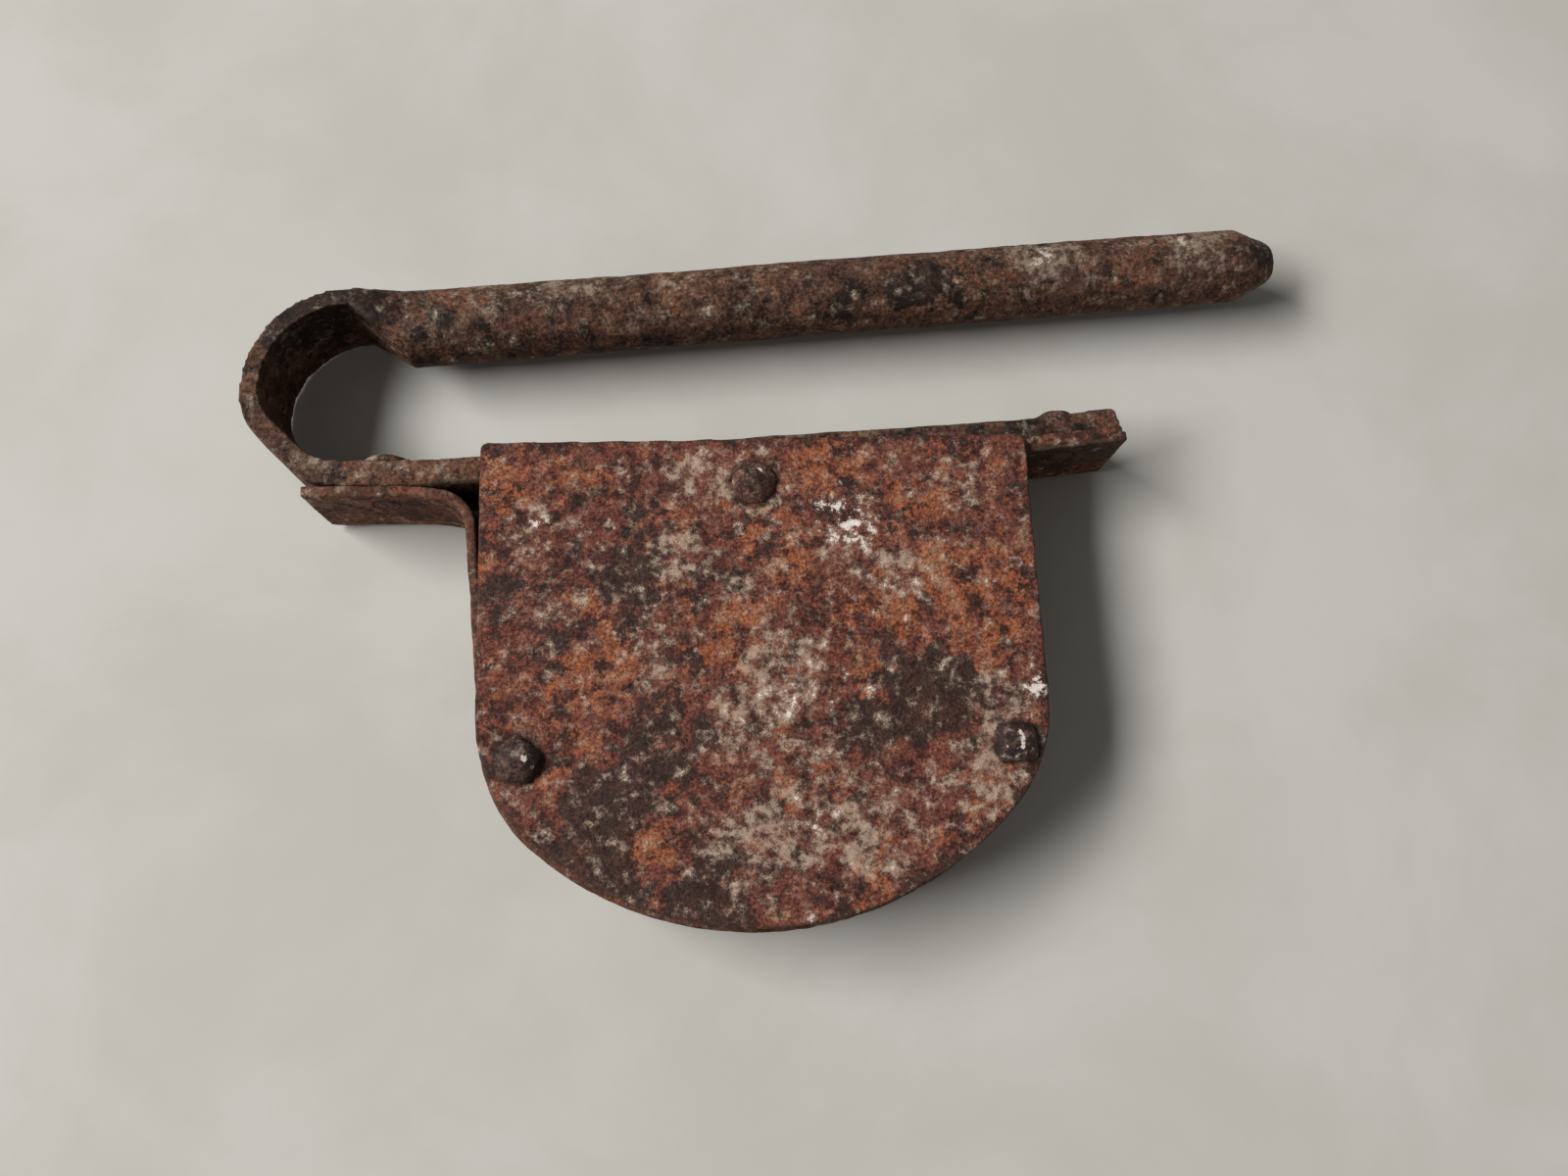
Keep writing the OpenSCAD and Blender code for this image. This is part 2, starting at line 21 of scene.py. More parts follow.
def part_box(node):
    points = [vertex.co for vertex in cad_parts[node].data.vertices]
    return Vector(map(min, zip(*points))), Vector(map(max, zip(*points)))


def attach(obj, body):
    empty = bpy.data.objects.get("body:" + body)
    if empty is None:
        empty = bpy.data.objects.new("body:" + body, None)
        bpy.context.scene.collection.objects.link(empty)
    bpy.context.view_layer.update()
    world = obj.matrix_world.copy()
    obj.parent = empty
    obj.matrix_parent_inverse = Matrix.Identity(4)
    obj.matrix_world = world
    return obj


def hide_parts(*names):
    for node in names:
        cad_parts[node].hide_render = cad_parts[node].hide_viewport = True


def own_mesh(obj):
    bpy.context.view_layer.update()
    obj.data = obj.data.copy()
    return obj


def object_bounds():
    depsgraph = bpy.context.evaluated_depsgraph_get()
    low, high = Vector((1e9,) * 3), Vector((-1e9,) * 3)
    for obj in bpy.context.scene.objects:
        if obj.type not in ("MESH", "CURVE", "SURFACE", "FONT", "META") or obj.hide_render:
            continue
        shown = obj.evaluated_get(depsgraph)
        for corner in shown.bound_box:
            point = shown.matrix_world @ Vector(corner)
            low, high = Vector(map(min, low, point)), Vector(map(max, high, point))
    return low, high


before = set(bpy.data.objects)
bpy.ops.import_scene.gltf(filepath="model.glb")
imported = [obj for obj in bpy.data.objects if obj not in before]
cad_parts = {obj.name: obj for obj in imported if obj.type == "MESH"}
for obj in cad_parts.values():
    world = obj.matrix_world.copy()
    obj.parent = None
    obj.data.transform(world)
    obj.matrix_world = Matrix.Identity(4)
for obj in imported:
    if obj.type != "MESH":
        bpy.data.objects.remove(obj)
CAD_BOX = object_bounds()

LOG = logging.getLogger("padlock")
MM = 0.001
CASE_BODY = "lock_case"

Colour = tuple[float, float, float]
Socket = bpy.types.NodeSocket
Feed = Union[Socket, float, Colour]


# ---------------------------------------------------------------------------
# Fields: seeded noise and stains, worked out once a vertex
# ---------------------------------------------------------------------------


class StainAndShade(Enum):
    """The masks that a worn skin carries, one value a vertex, from 0 to 1: stains and wear, painted shade in
    the hollows and round the pin heads, and lime crust that on the bar also paints a highlight.
    """

    EDGE = "edge"
    # painted shade: darkens the hollows and the rings round the pin heads
    PAINTED_SHADE = "crevice_painted_shade"
    # lime crust; on the bar some patches of it are a painted highlight along the upper edge
    LIME_AND_PAINTED_HIGHLIGHT = "lime"
    CHALK = "chalk"
    SCALE = "scale"
    GLOW = "glow"


def smooth_step(value: np.ndarray, low: float, high: float) -> np.ndarray:
    """Fade a field from 0 at low to 1 at high, with soft ends."""
    share = np.clip((value - low) / (high - low), 0.0, 1.0)
    return share * share * (3.0 - 2.0 * share)


class LatticeNoise:
    """Smooth gradient noise on a cubic lattice, the same for the same seed."""

    LATTICE = 256
    GAIN = 1.7
    LAYER_SHIFT = 0.37
    LAYER_SUM = 1.4
    WARP_SHIFTS = (3.1, 7.7, 12.9)

    def __init__(self, seed: int) -> None:
        """Draw the lattice's slopes.

        Args:
            seed: Chooses the pattern.
        """
        draw = np.random.default_rng(seed)
        self.order = draw.permutation(self.LATTICE)
        slopes = draw.normal(size=(self.LATTICE, 3))
        self.slopes = slopes / np.linalg.norm(slopes, axis=1, keepdims=True)

    def at(self, points: np.ndarray, size: float) -> np.ndarray:
        """Read the noise at some points.

        Args:
            points: One row a point.
            size: The width of one lump of the pattern.

        Returns:
            One value a point, mostly from -1 to 1.
        """
        scaled = points / size
        cell = np.floor(scaled).astype(int)
        inside = scaled - cell
        ease = inside**3 * (inside * (inside * 6.0 - 15.0) + 10.0)
        total = np.zeros(len(points))
        for corner in itertools.product((0, 1), repeat=3):
            x, y, z = ((cell + corner) % self.LATTICE).T
            pick = self.order[(self.order[(self.order[x] + y) % self.LATTICE] + z) % self.LATTICE]
            weight = np.prod(np.where(corner, ease, 1.0 - ease), axis=1)
            total += weight * np.sum((inside - corner) * self.slopes[pick], axis=1)
        return total * self.GAIN

    def layered(self, points: np.ndarray, size: float, layers: int = 3) -> np.ndarray:
        """Add finer and fainter copies of the noise to itself.

        Args:
            points: One row a point.
            size: The width of the largest lumps.
            layers: How many copies, each half the size of the last.

        Returns:
            One value a point, mostly from -1 to 1.
        """
        total = np.zeros(len(points))
        for layer in range(layers):
            total += self.at(points + self.LAYER_SHIFT * layer * size, size / 2**layer) / 2**layer
        return total / self.LAYER_SUM

    def warp(self, points: np.ndarray, size: float, reach: float) -> np.ndarray:
        """Push points about, by up to reach, so that what is measured from them has a ragged outline."""
        shifts = [self.layered(points + offset * size, size) for offset in self.WARP_SHIFTS]
        return points + reach * np.stack(shifts, axis=1)


@dataclass(frozen=True)
class Patch:
    """One stain on a piece, or on the bar partly a painted highlight: its place in shares of the piece's box,
    and its reach.
    """

    stain: StainAndShade
    x: float
    y: float
    reach_mm: float
    strength: float = 1.0
    z: float = 1.0


@dataclass(frozen=True)
class Drift:
    """How much of a stain lies everywhere on a piece, and how that wanders."""

    base: float
    swing: float
    size_mm: float


@dataclass(frozen=True)
class Weathering:
    """The stains of one piece. A patch is full within one share of its reach and gone past another."""

    SEED_STEP = 31
    RAGGED_SIZE_MM = 6.0
    FULL_WITHIN = 0.35
    GONE_PAST = 1.25

    patches: tuple[Patch, ...] = ()
    lime: Drift = Drift(0.22, 0.22, 13.0)
    chalk: Drift = Drift(0.0, 0.10, 9.0)
    scale: Drift = Drift(0.30, 0.30, 16.0)
    glow: Drift = Drift(0.32, 0.32, 11.0)
    warp_mm: float = 3.4
    border: float = 0.0
    border_mm: float = 3.0

    def mask(self, stain: StainAndShade, points: np.ndarray, low: Vector, high: Vector, seed: int) -> np.ndarray:
        """Work out one stain over a piece.

        Args:
            stain: One of the four stains that wander.
            points: The piece's vertices.
            low: The lowest corner of the piece's box.
            high: The highest corner of the piece's box.
            seed: Chooses the pattern.

        Returns:
            One value a vertex, from 0 to 1.
        """
        drift: Drift = getattr(self, stain.value)
        noise = LatticeNoise(seed + self.SEED_STEP * list(StainAndShade).index(stain))
        total = drift.base + drift.swing * noise.layered(points, drift.size_mm * MM)
        ragged = noise.warp(points, self.RAGGED_SIZE_MM * MM, self.warp_mm * MM)
        floor_point, span = np.array(low), np.array(high - low)
        for patch in (p for p in self.patches if p.stain is stain):
            centre = floor_point + span * (patch.x, patch.y, patch.z)
            far = np.linalg.norm(ragged - centre, axis=1) / (patch.reach_mm * MM)
            total = total + patch.strength * smooth_step(-far, -self.GONE_PAST, -self.FULL_WITHIN)
        return np.clip(total, 0.0, 1.0)


# ---------------------------------------------------------------------------
# Skins: the frame's solids, remeshed and worn
# ---------------------------------------------------------------------------


@dataclass(frozen=True)
class Relief:
    """How far rust has moved a surface. Each height has the width of its lumps beside it."""

    PIT_BAND = (0.22, 0.6)
    CHEW_BAND = (-0.2, 0.7)
    SCAB_SIZE_MM = 1.6
    SCAB_LEAST = 0.5

    voxel_mm: float
    sway_mm: float = 0.2
    sway_size_mm: float = 32.0
    lump_mm: float = 0.10
    lump_size_mm: float = 5.0
    grain_mm: float = 0.05
    grain_size_mm: float = 1.2
    pit_mm: float = 0.10
    pit_size_mm: float = 2.4
    nibble_mm: float = 0.25
    nibble_size_mm: float = 4.0
    crust_mm: float = 0.08

    def height(self, points: np.ndarray, masks: dict[StainAndShade, np.ndarray], seed: int) -> np.ndarray:
        """Work out how far each vertex moves along its normal.

        Args:
            points: The vertices.
            masks: The piece's stains.
            seed: Chooses the pattern.

        Returns:
            One distance a vertex, outward where positive.
        """
        noise = LatticeNoise(seed)
        second = LatticeNoise(seed + 1)
        sway = self.sway_mm * noise.at(points, self.sway_size_mm * MM)
        lump = self.lump_mm * noise.layered(points, self.lump_size_mm * MM)
        grain = self.grain_mm * noise.layered(points, self.grain_size_mm * MM, layers=2)
        hollow = second.layered(points, self.pit_size_mm * MM, layers=2)
        pit = self.pit_mm * smooth_step(hollow, *self.PIT_BAND)
        chew = smooth_step(second.layered(points, self.nibble_size_mm * MM), *self.CHEW_BAND)
        nibble = self.nibble_mm * chew * masks[StainAndShade.EDGE]
        scab = second.layered(points, self.SCAB_SIZE_MM * MM, layers=2)
        crust = self.crust_mm * (masks[StainAndShade.LIME_AND_PAINTED_HIGHLIGHT] + masks[StainAndShade.CHALK]) * (self.SCAB_LEAST + scab)
        return MM * (sway + lump + grain + crust - pit - nibble)


WANDERING = (StainAndShade.LIME_AND_PAINTED_HIGHLIGHT, StainAndShade.CHALK, StainAndShade.SCALE, StainAndShade.GLOW)
BEND_GAIN = 5.0
BLUR_ROUNDS = 3
BLUR_SHARE = 0.6
BEND_MASK_GAIN = 1.6
SPREAD_PER_ROUND = 1.5
SPREAD_FULL_AT = 0.98
BORDER_CLEARS = 0.8
FILLING_SIDES = 24


def neighbour_mean(mesh: bpy.types.Mesh, values: np.ndarray) -> np.ndarray:
    """Average each vertex's neighbours along the mesh's edges.

    Args:
        mesh: The mesh.
        values: One row or one number a vertex.

    Returns:
        The averages, in the same form.
    """
    ends = np.empty(len(mesh.edges) * 2, dtype=np.int64)
    mesh.edges.foreach_get("vertices", ends)
    first, second = ends.reshape(-1, 2).T
    count = np.bincount(ends, minlength=len(values)).astype(float)
    columns = values.reshape(len(values), -1)
    mean = np.empty_like(columns)
    for column in range(columns.shape[1]):
        one = columns[:, column]
        total = np.bincount(first, weights=one[second], minlength=len(values))
        total += np.bincount(second, weights=one[first], minlength=len(values))
        mean[:, column] = total / np.maximum(count, 1.0)
    return mean.reshape(values.shape)


def vertex_rows(mesh: bpy.types.Mesh, name: str) -> np.ndarray:
    """Read the places or the normals of a mesh's vertices.

    Args:
        mesh: The mesh.
        name: "co" for places, "normal" for normals.

    Returns:
        One row a vertex.
    """
    flat = np.empty(len(mesh.vertices) * 3)
    mesh.vertices.foreach_get(name, flat)
    return flat.reshape(-1, 3)


def bend_masks(mesh: bpy.types.Mesh, voxel: float) -> dict[StainAndShade, np.ndarray]:
    """Find where a mesh turns outward, at its edges, and inward, in its crevices, where shade is painted.

    Args:
        mesh: The mesh.
        voxel: The mesh's grid size.

    Returns:
        The edge mask, and the mask of painted shade in the crevices.
    """
    places, normals = vertex_rows(mesh, "co"), vertex_rows(mesh, "normal")
    bend = np.sum((places - neighbour_mean(mesh, places)) * normals, axis=1) / voxel
    masks = {}
    # the inward bends become painted shade
    for stain, sign in ((StainAndShade.EDGE, 1.0), (StainAndShade.PAINTED_SHADE, -1.0)):
        mask = np.clip(sign * bend * BEND_GAIN, 0.0, 1.0)
        for _ in range(BLUR_ROUNDS):
            mask = (1.0 - BLUR_SHARE) * mask + BLUR_SHARE * neighbour_mean(mesh, mask)
        masks[stain] = np.clip(mask * BEND_MASK_GAIN, 0.0, 1.0)
    return masks


def spread_out(mesh: bpy.types.Mesh, mask: np.ndarray, reach: float, voxel: float) -> np.ndarray:
    """Let a mask fade out over the surface round where it lies.

    Args:
        mesh: The mesh.
        mask: One value a vertex.
        reach: How far it fades, in the unit of voxel.
        voxel: The mesh's grid size.

    Returns:
        The widened mask, from 0 to 1.
    """
    wide = mask
    for _ in range(int((reach / voxel) ** 2 / SPREAD_PER_ROUND)):
        wide = neighbour_mean(mesh, wide)
    return np.clip(wide / max(float(np.quantile(wide, SPREAD_FULL_AT)), 1e-6), 0.0, 1.0)


def fill_hole(mesh: bpy.types.Mesh, pin: str, low: float, high: float) -> None:
    """Fill the hole of a pin whose tail is hammered flush and rusted in.

    Args:
        mesh: The mesh that has the hole.
        pin: The pin's node.
        low: Where the filling starts, in Z.
        high: Where it ends.
    """
    corner_low, corner_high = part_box(pin)
    middle = (corner_low + corner_high) / 2
    middle.z = (low + high) / 2
    filling = bmesh.new()
    filling.from_mesh(mesh)
    radius = (corner_high.x - corner_low.x) / 2
    bmesh.ops.create_cone(filling, cap_ends=True, segments=FILLING_SIDES, radius1=radius, radius2=radius,
                          depth=high - low, matrix=Matrix.Translation(middle))
    filling.to_mesh(mesh)
    filling.free()


def even_piece(name: str, mesh: bpy.types.Mesh, voxel: float) -> bpy.types.Object:
    """Make a new object with an even, closed mesh from a rough one.

    Args:
        name: The new piece's name.
        mesh: The rough mesh.
        voxel: The grid size.

    Returns:
        The new piece.
    """
    piece = bpy.data.objects.new(name, mesh)
    bpy.context.scene.collection.objects.link(piece)
    remesh = piece.modifiers.new("even_grid", "REMESH")
    remesh.mode = "VOXEL"
    remesh.voxel_size = voxel
    graph = bpy.context.evaluated_depsgraph_get()
    even = bpy.data.meshes.new_from_object(piece.evaluated_get(graph))
    piece.modifiers.clear()
    piece.data = even
    even.name = name
    even.materials.clear()
    even.shade_smooth()
    return piece


SEEDS = {
    "plain_plate": 11, "keyhole_plate": 23, "rim_band": 37, "lug_seam_rust": 43, "shackle_bar": 53,
    "left_ear_rivet": 71, "right_ear_rivet": 72, "top_case_pin": 73, "left_case_pin": 74,
    "right_case_pin": 75, "bolt_spring": 91, "key_pin": 97,
}


def grow_skin(node: str, name: str, relief: Relief, weathering: Weathering = Weathering(),
              rings: dict[StainAndShade, "Ring"] | None = None, flush_pins: tuple[str, ...] = ()) -> bpy.types.Object:
    """Grow a worn skin from one solid of the frame, with its stains and its painted shade stored on its
    vertices.

    Args:
        node: The frame's node.
        name: The new piece's name.
        relief: How far rust has moved the surface.
        weathering: The piece's stains.
        rings: Rings round what passes through the piece, of stain and of painted shade.
        flush_pins: Pins whose holes in the piece are filled.

    Returns:
        The new piece, in the node's place.
    """
    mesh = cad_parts[node].data.copy()
    low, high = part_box(node)
    for pin in flush_pins:
        fill_hole(mesh, pin, low.z, high.z)
    piece = even_piece(name, mesh, relief.voxel_mm * MM)
    wear(piece, (low, high), relief, weathering, SEEDS[node], rings)
    return piece


def wear(piece: bpy.types.Object, box: tuple[Vector, Vector], relief: Relief, weathering: Weathering,
         seed: int, rings: dict[StainAndShade, "Ring"] | None = None) -> None:
    """Move a piece's surface as rust has, and store its stains and its painted shade on its vertices.

    Args:
        piece: The piece, with an even mesh.
        box: The corners that its patches are placed between.
        relief: How far rust has moved the surface.
        weathering: The piece's stains.
        seed: Chooses the patterns.
        rings: Rings round what passes through the piece, of stain and of painted shade.
    """
    voxel = relief.voxel_mm * MM
    low, high = box
    points = vertex_rows(piece.data, "co")
    masks = bend_masks(piece.data, voxel)
    for stain in WANDERING:
        masks[stain] = weathering.mask(stain, points, low, high, seed)
    if weathering.border > 0.0:
        border = spread_out(piece.data, masks[StainAndShade.EDGE], weathering.border_mm * MM, voxel)
        masks[StainAndShade.SCALE] = np.clip(masks[StainAndShade.SCALE] + weathering.border * border, 0.0, 1.0)
        masks[StainAndShade.LIME_AND_PAINTED_HIGHLIGHT] = masks[StainAndShade.LIME_AND_PAINTED_HIGHLIGHT] * (1.0 - BORDER_CLEARS * border)
    for stain, ring in (rings or {}).items():
        masks[stain] = np.clip(masks[stain] + ring.mask(points, seed), 0.0, 1.0)
    normals = vertex_rows(piece.data, "normal")
    moved = points + normals * relief.height(points, masks, seed)[:, None]
    moved[:, 2] = np.maximum(moved[:, 2], CAD_BOX[0].z)
    piece.data.vertices.foreach_set("co", moved.ravel())
    piece.data.update()
    for stain, mask in masks.items():
        layer = piece.data.attributes.new(stain.value, "FLOAT", "POINT")
        layer.data.foreach_set("value", mask.astype(np.float32))


@dataclass(frozen=True)
class Ring:
    """A ring round each of some upright pins, added to one mask: a stain, and in the shade mask painted shade
    round the pin heads.
    """

    SEED_STEP = 5
    RAGGED_SIZE_MM = 3.0
    RAGGED_REACH_MM = 0.8

    nodes: tuple[str, ...]
    gap_mm: float
    width_mm: float
    strength: float

    def mask(self, points: np.ndarray, seed: int) -> np.ndarray:
        """Work out the rings over a piece.

        Args:
            points: The piece's vertices.
            seed: Chooses how ragged the rings are.

        Returns:
            One value a vertex, from 0 to the ring's strength.
        """
        noise = LatticeNoise(seed + self.SEED_STEP)
        ragged = noise.warp(points, self.RAGGED_SIZE_MM * MM, self.RAGGED_REACH_MM * MM)
        total = np.zeros(len(points))
        for node in self.nodes:
            low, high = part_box(node)
            centre = np.array((low + high) / 2)[:2]
            radius = (high.x - low.x) / 2 + self.gap_mm * MM
            off = np.abs(np.linalg.norm(ragged[:, :2] - centre, axis=1) - radius)
            total = np.maximum(total, smooth_step(-off, -self.width_mm * MM, 0.0))
        return self.strength * total


# ---------------------------------------------------------------------------
# Shader building
# ---------------------------------------------------------------------------


class Graph:
    """Short ways to add nodes to one shader tree and join them."""

    def __init__(self, tree: bpy.types.NodeTree) -> None:
        """Keep the tree to build in."""
        self.tree = tree

    def feed(self, socket: Socket, value: Feed) -> None:
        """Give an input socket a link or a set value.

        Args:
            socket: The input.
            value: An output socket to link, a number, or a colour.
        """
        if isinstance(value, bpy.types.NodeSocket):
            self.tree.links.new(value, socket)
        elif isinstance(value, tuple) and socket.type == "RGBA":
            socket.default_value = (*value, 1.0)
        else:
            socket.default_value = value

    def node(self, kind: str, inputs: dict[str | int, Feed] | None = None,
             **settings: object) -> bpy.types.Node:
        """Add a node.

        Args:
            kind: The node's type.
            inputs: What feeds its inputs, by name or number.
            settings: The node's own settings.

        Returns:
            The node.
        """
        made = self.tree.nodes.new(kind)
        for name, value in settings.items():
            setattr(made, name, value)
        for key, value in (inputs or {}).items():
            self.feed(made.inputs[key], value)
        return made

    def noise(self, vector: Socket, scale: Feed, detail: float = 3.0, rough: float = 0.6,
              twist: float = 0.0) -> Socket:
        """Add a cloudy noise of some lumps a metre, which is about 0.5 in the middle."""
        inputs = {"Vector": vector, "Scale": scale, "Detail": detail, "Roughness": rough, "Distortion": twist}
        return self.node("ShaderNodeTexNoise", inputs).outputs[0]

    def math(self, operation: str, first: Feed, second: Feed) -> Socket:
        """Add a sum of two terms, under Blender's name for it."""
        return self.node("ShaderNodeMath", {0: first, 1: second}, operation=operation).outputs[0]

    def times(self, first: Feed, second: Feed) -> Socket:
        """Multiply two values."""
        return self.math("MULTIPLY", first, second)

    def shifted(self, vector: Socket, way: tuple[float, float, float] | Socket) -> Socket:
        """Add a shift to a place."""
        return self.node("ShaderNodeVectorMath", {0: vector, 1: way}, operation="ADD").outputs[0]

    def weigh(self, *terms: tuple[Socket, float]) -> Socket:
        """Add up some values, each times its own weight.

        Args:
            terms: Pairs of a value and its weight.

        Returns:
            The sum.
        """
        total: Feed = 0.0
        for value, weight in terms:
            inputs = {0: value, 1: weight, 2: total}
            total = self.node("ShaderNodeMath", inputs, operation="MULTIPLY_ADD").outputs[0]
        return total

    def fade(self, value: Feed, low: Feed, high: Feed, start: Feed = 0.0, end: Feed = 1.0) -> Socket:
        """Add a soft fade from start, below low, to end, above high."""
        inputs = {"Value": value, "From Min": low, "From Max": high, "To Min": start, "To Max": end}
        return self.node("ShaderNodeMapRange", inputs, interpolation_type="SMOOTHSTEP").outputs[0]

    def mix(self, share: Feed, first: Feed, second: Feed, blend: str = "MIX") -> Socket:
        """Mix two colours, where share is how much of the second shows."""
        inputs = {0: share, 6: first, 7: second}
        return self.node("ShaderNodeMix", inputs, data_type="RGBA", blend_type=blend).outputs[2]

    def grey(self, value: Socket) -> Socket:
        """Turn a value into a grey of that brightness."""
        return self.node("ShaderNodeCombineColor", {0: value, 1: value, 2: value}).outputs[0]


UNDER = (0.1, 0.05, 0.04)
KINDS = {float: "NodeSocketFloat", tuple: "NodeSocketColor", Vector: "NodeSocketVector"}


class Effect:
    """A shared effect, as a shader node group that is built once."""

    name = "Effect"
    inputs: dict[str, object] = {}
    outputs: dict[str, type] = {}

    @classmethod
    def group(cls) -> bpy.types.NodeTree:
        """Give the group, building it the first time."""
        found = bpy.data.node_groups.get(cls.name)
        if found:
            return found
        tree = bpy.data.node_groups.new(cls.name, "ShaderNodeTree")
        for name, value in cls.inputs.items():
            socket = tree.interface.new_socket(name, in_out="INPUT", socket_type=KINDS[type(value)])
            if not isinstance(value, Vector):
                socket.default_value = (*value, 1.0) if isinstance(value, tuple) else value
        for name, kind in cls.outputs.items():
            tree.interface.new_socket(name, in_out="OUTPUT", socket_type=KINDS[kind])
        graph = Graph(tree)
        results = cls.build(graph, graph.node("NodeGroupInput").outputs)
        graph.node("NodeGroupOutput", results)
        return tree

    @classmethod
    def build(cls, graph: Graph, given: bpy.types.NodeOutputs) -> dict[str, Feed]:
        """Build the group's inside.

        Args:
            graph: The group's tree.
            given: The group's inputs.

        Returns:
            What feeds each of the group's outputs.
        """
        raise NotImplementedError

    @classmethod
    def place(cls, graph: Graph, **values: Feed) -> bpy.types.NodeOutputs:
        """Put the effect into a material.

        Args:
            graph: The material's tree.
            values: What feeds its inputs, with _ for the spaces in their names.

        Returns:
            The effect's outputs.
        """
        inputs = {name.replace("_", " "): value for name, value in values.items()}
        holder = graph.tree.nodes.new("ShaderNodeGroup")
        holder.node_tree = cls.group()
        holder.label = cls.name
        for name, value in inputs.items():
            graph.feed(holder.inputs[name], value)
        return holder.outputs


class RustMottle(Effect):
    """Layered rust: black scale, deep brown, red-brown, orange bloom and tan, broken up at every size."""

    name = "Rust Mottle"
    inputs = {
        "Vector": Vector(), "Clump Scale": 130.0, "Bloom Scale": 70.0, "Grain Scale": 1200.0,
        "Black": (0.02, 0.01, 0.01), "Deep": (0.1, 0.04, 0.03), "Red": (0.17, 0.07, 0.04),
        "Orange": (0.3, 0.1, 0.04), "Tan": (0.35, 0.2, 0.14), "Glow": 0.0, "Scale Mask": 0.0,
    }
    outputs = {"Colour": tuple, "Scale Mask": float}
    DEEP_BAND = (0.42, 0.50)
    RED_BAND = (0.49, 0.575)
    ORANGE_BAND = (0.70, 0.83, 0.0, 0.9)
    ORANGE_TONE = (0.49, 0.59)
    TAN_BAND = (0.605, 0.71, 0.0, 0.85)
    SCALE_BAND = (-1.01, -0.78, 0.0, 0.9)
    SHADE_BAND = (0.47, 0.60, 0.0, 0.45)
    CRISP_BAND = (0.28, 0.72, 0.52, 1.48)

    @classmethod
    def build(cls, graph: Graph, given: bpy.types.NodeOutputs) -> dict[str, Feed]:
        """Build the mottle from a tone and a bloom, pushed by the glow and scale masks."""
        clumps = graph.noise(given["Vector"], given["Clump Scale"], 6.0, 0.76)
        apart = graph.shifted(given["Vector"], (0.7, 0.3, 0.5))
        blooms = graph.noise(apart, given["Bloom Scale"], 6.0, 0.72, 0.3)
        grains = graph.noise(given["Vector"], given["Grain Scale"], 1.0, 0.8)
        glow, dark = given["Glow"], given["Scale Mask"]
        tone = graph.weigh((clumps, 1.0), (grains, 0.10), (glow, 0.04), (dark, -0.055))
        colour = graph.mix(graph.fade(tone, *cls.DEEP_BAND), given["Black"], given["Deep"])
        colour = graph.mix(graph.fade(tone, *cls.RED_BAND), colour, given["Red"])
        bloom = graph.weigh((blooms, 1.0), (clumps, 0.35), (glow, 0.17), (dark, -0.08))
        bloom = graph.times(graph.fade(bloom, *cls.ORANGE_BAND), graph.fade(tone, *cls.ORANGE_TONE))
        colour = graph.mix(bloom, colour, given["Orange"])
        colour = graph.mix(graph.fade(tone, *cls.TAN_BAND), colour, given["Tan"])
        scale = graph.weigh((clumps, -1.8), (blooms, -0.8), (grains, -0.3), (dark, 0.95))
        scale = graph.fade(scale, *cls.SCALE_BAND)
        shade = graph.mix(graph.fade(tone, *cls.SHADE_BAND), given["Black"], given["Deep"])
        colour = graph.mix(scale, colour, shade)
        crisp = graph.grey(graph.fade(grains, *cls.CRISP_BAND))
        return {"Colour": graph.mix(1.0, colour, crisp, "MULTIPLY"), "Scale Mask": scale}


class CrustSpeckle(Effect):
    """Pale crust: a thin film of lime that thickens into specks, and white chalk where it is thickest."""

    name = "Crust Speckle"
    inputs = {"Colour": UNDER, "Vector": Vector(), "Speck Scale": 160.0, "Lime Cover": 0.0,
              "Chalk Cover": 0.0, "Lime": (0.4, 0.3, 0.22), "Chalk": (0.8, 0.7, 0.6), "Film": 0.35,
              "Opacity": 0.8}
    outputs = {"Colour": tuple, "Mask": float}
    FILM_BAND = (0.52, 0.66)
    SPECK_BAND = (0.585, 0.66)
    TINT_BAND = (0.40, 0.64, 0.62, 1.35)
    WHITE_BAND = (0.645, 0.70, 0.0, 0.95)

    @classmethod
    def build(cls, graph: Graph, given: bpy.types.NodeOutputs) -> dict[str, Feed]:
        """Build both crusts from one field of ragged specks."""
        apart = graph.shifted(given["Vector"], (0.2, 0.9, 0.4))
        specks = graph.noise(apart, given["Speck Scale"], 6.0, 0.80)
        level = graph.weigh((specks, 1.0), (given["Lime Cover"], 0.13))
        film = graph.times(graph.fade(level, *cls.FILM_BAND), given["Film"])
        crisp = graph.times(graph.fade(level, *cls.SPECK_BAND), given["Opacity"])
        lime = graph.math("MAXIMUM", film, crisp)
        tint = graph.grey(graph.fade(specks, *cls.TINT_BAND))
        colour = graph.mix(lime, given["Colour"], graph.mix(1.0, given["Lime"], tint, "MULTIPLY"))
        white = graph.weigh((specks, 1.0), (given["Chalk Cover"], 0.26))
        white = graph.fade(white, *cls.WHITE_BAND)
        colour = graph.mix(white, colour, given["Chalk"])
        return {"Colour": colour, "Mask": graph.math("MAXIMUM", lime, white)}


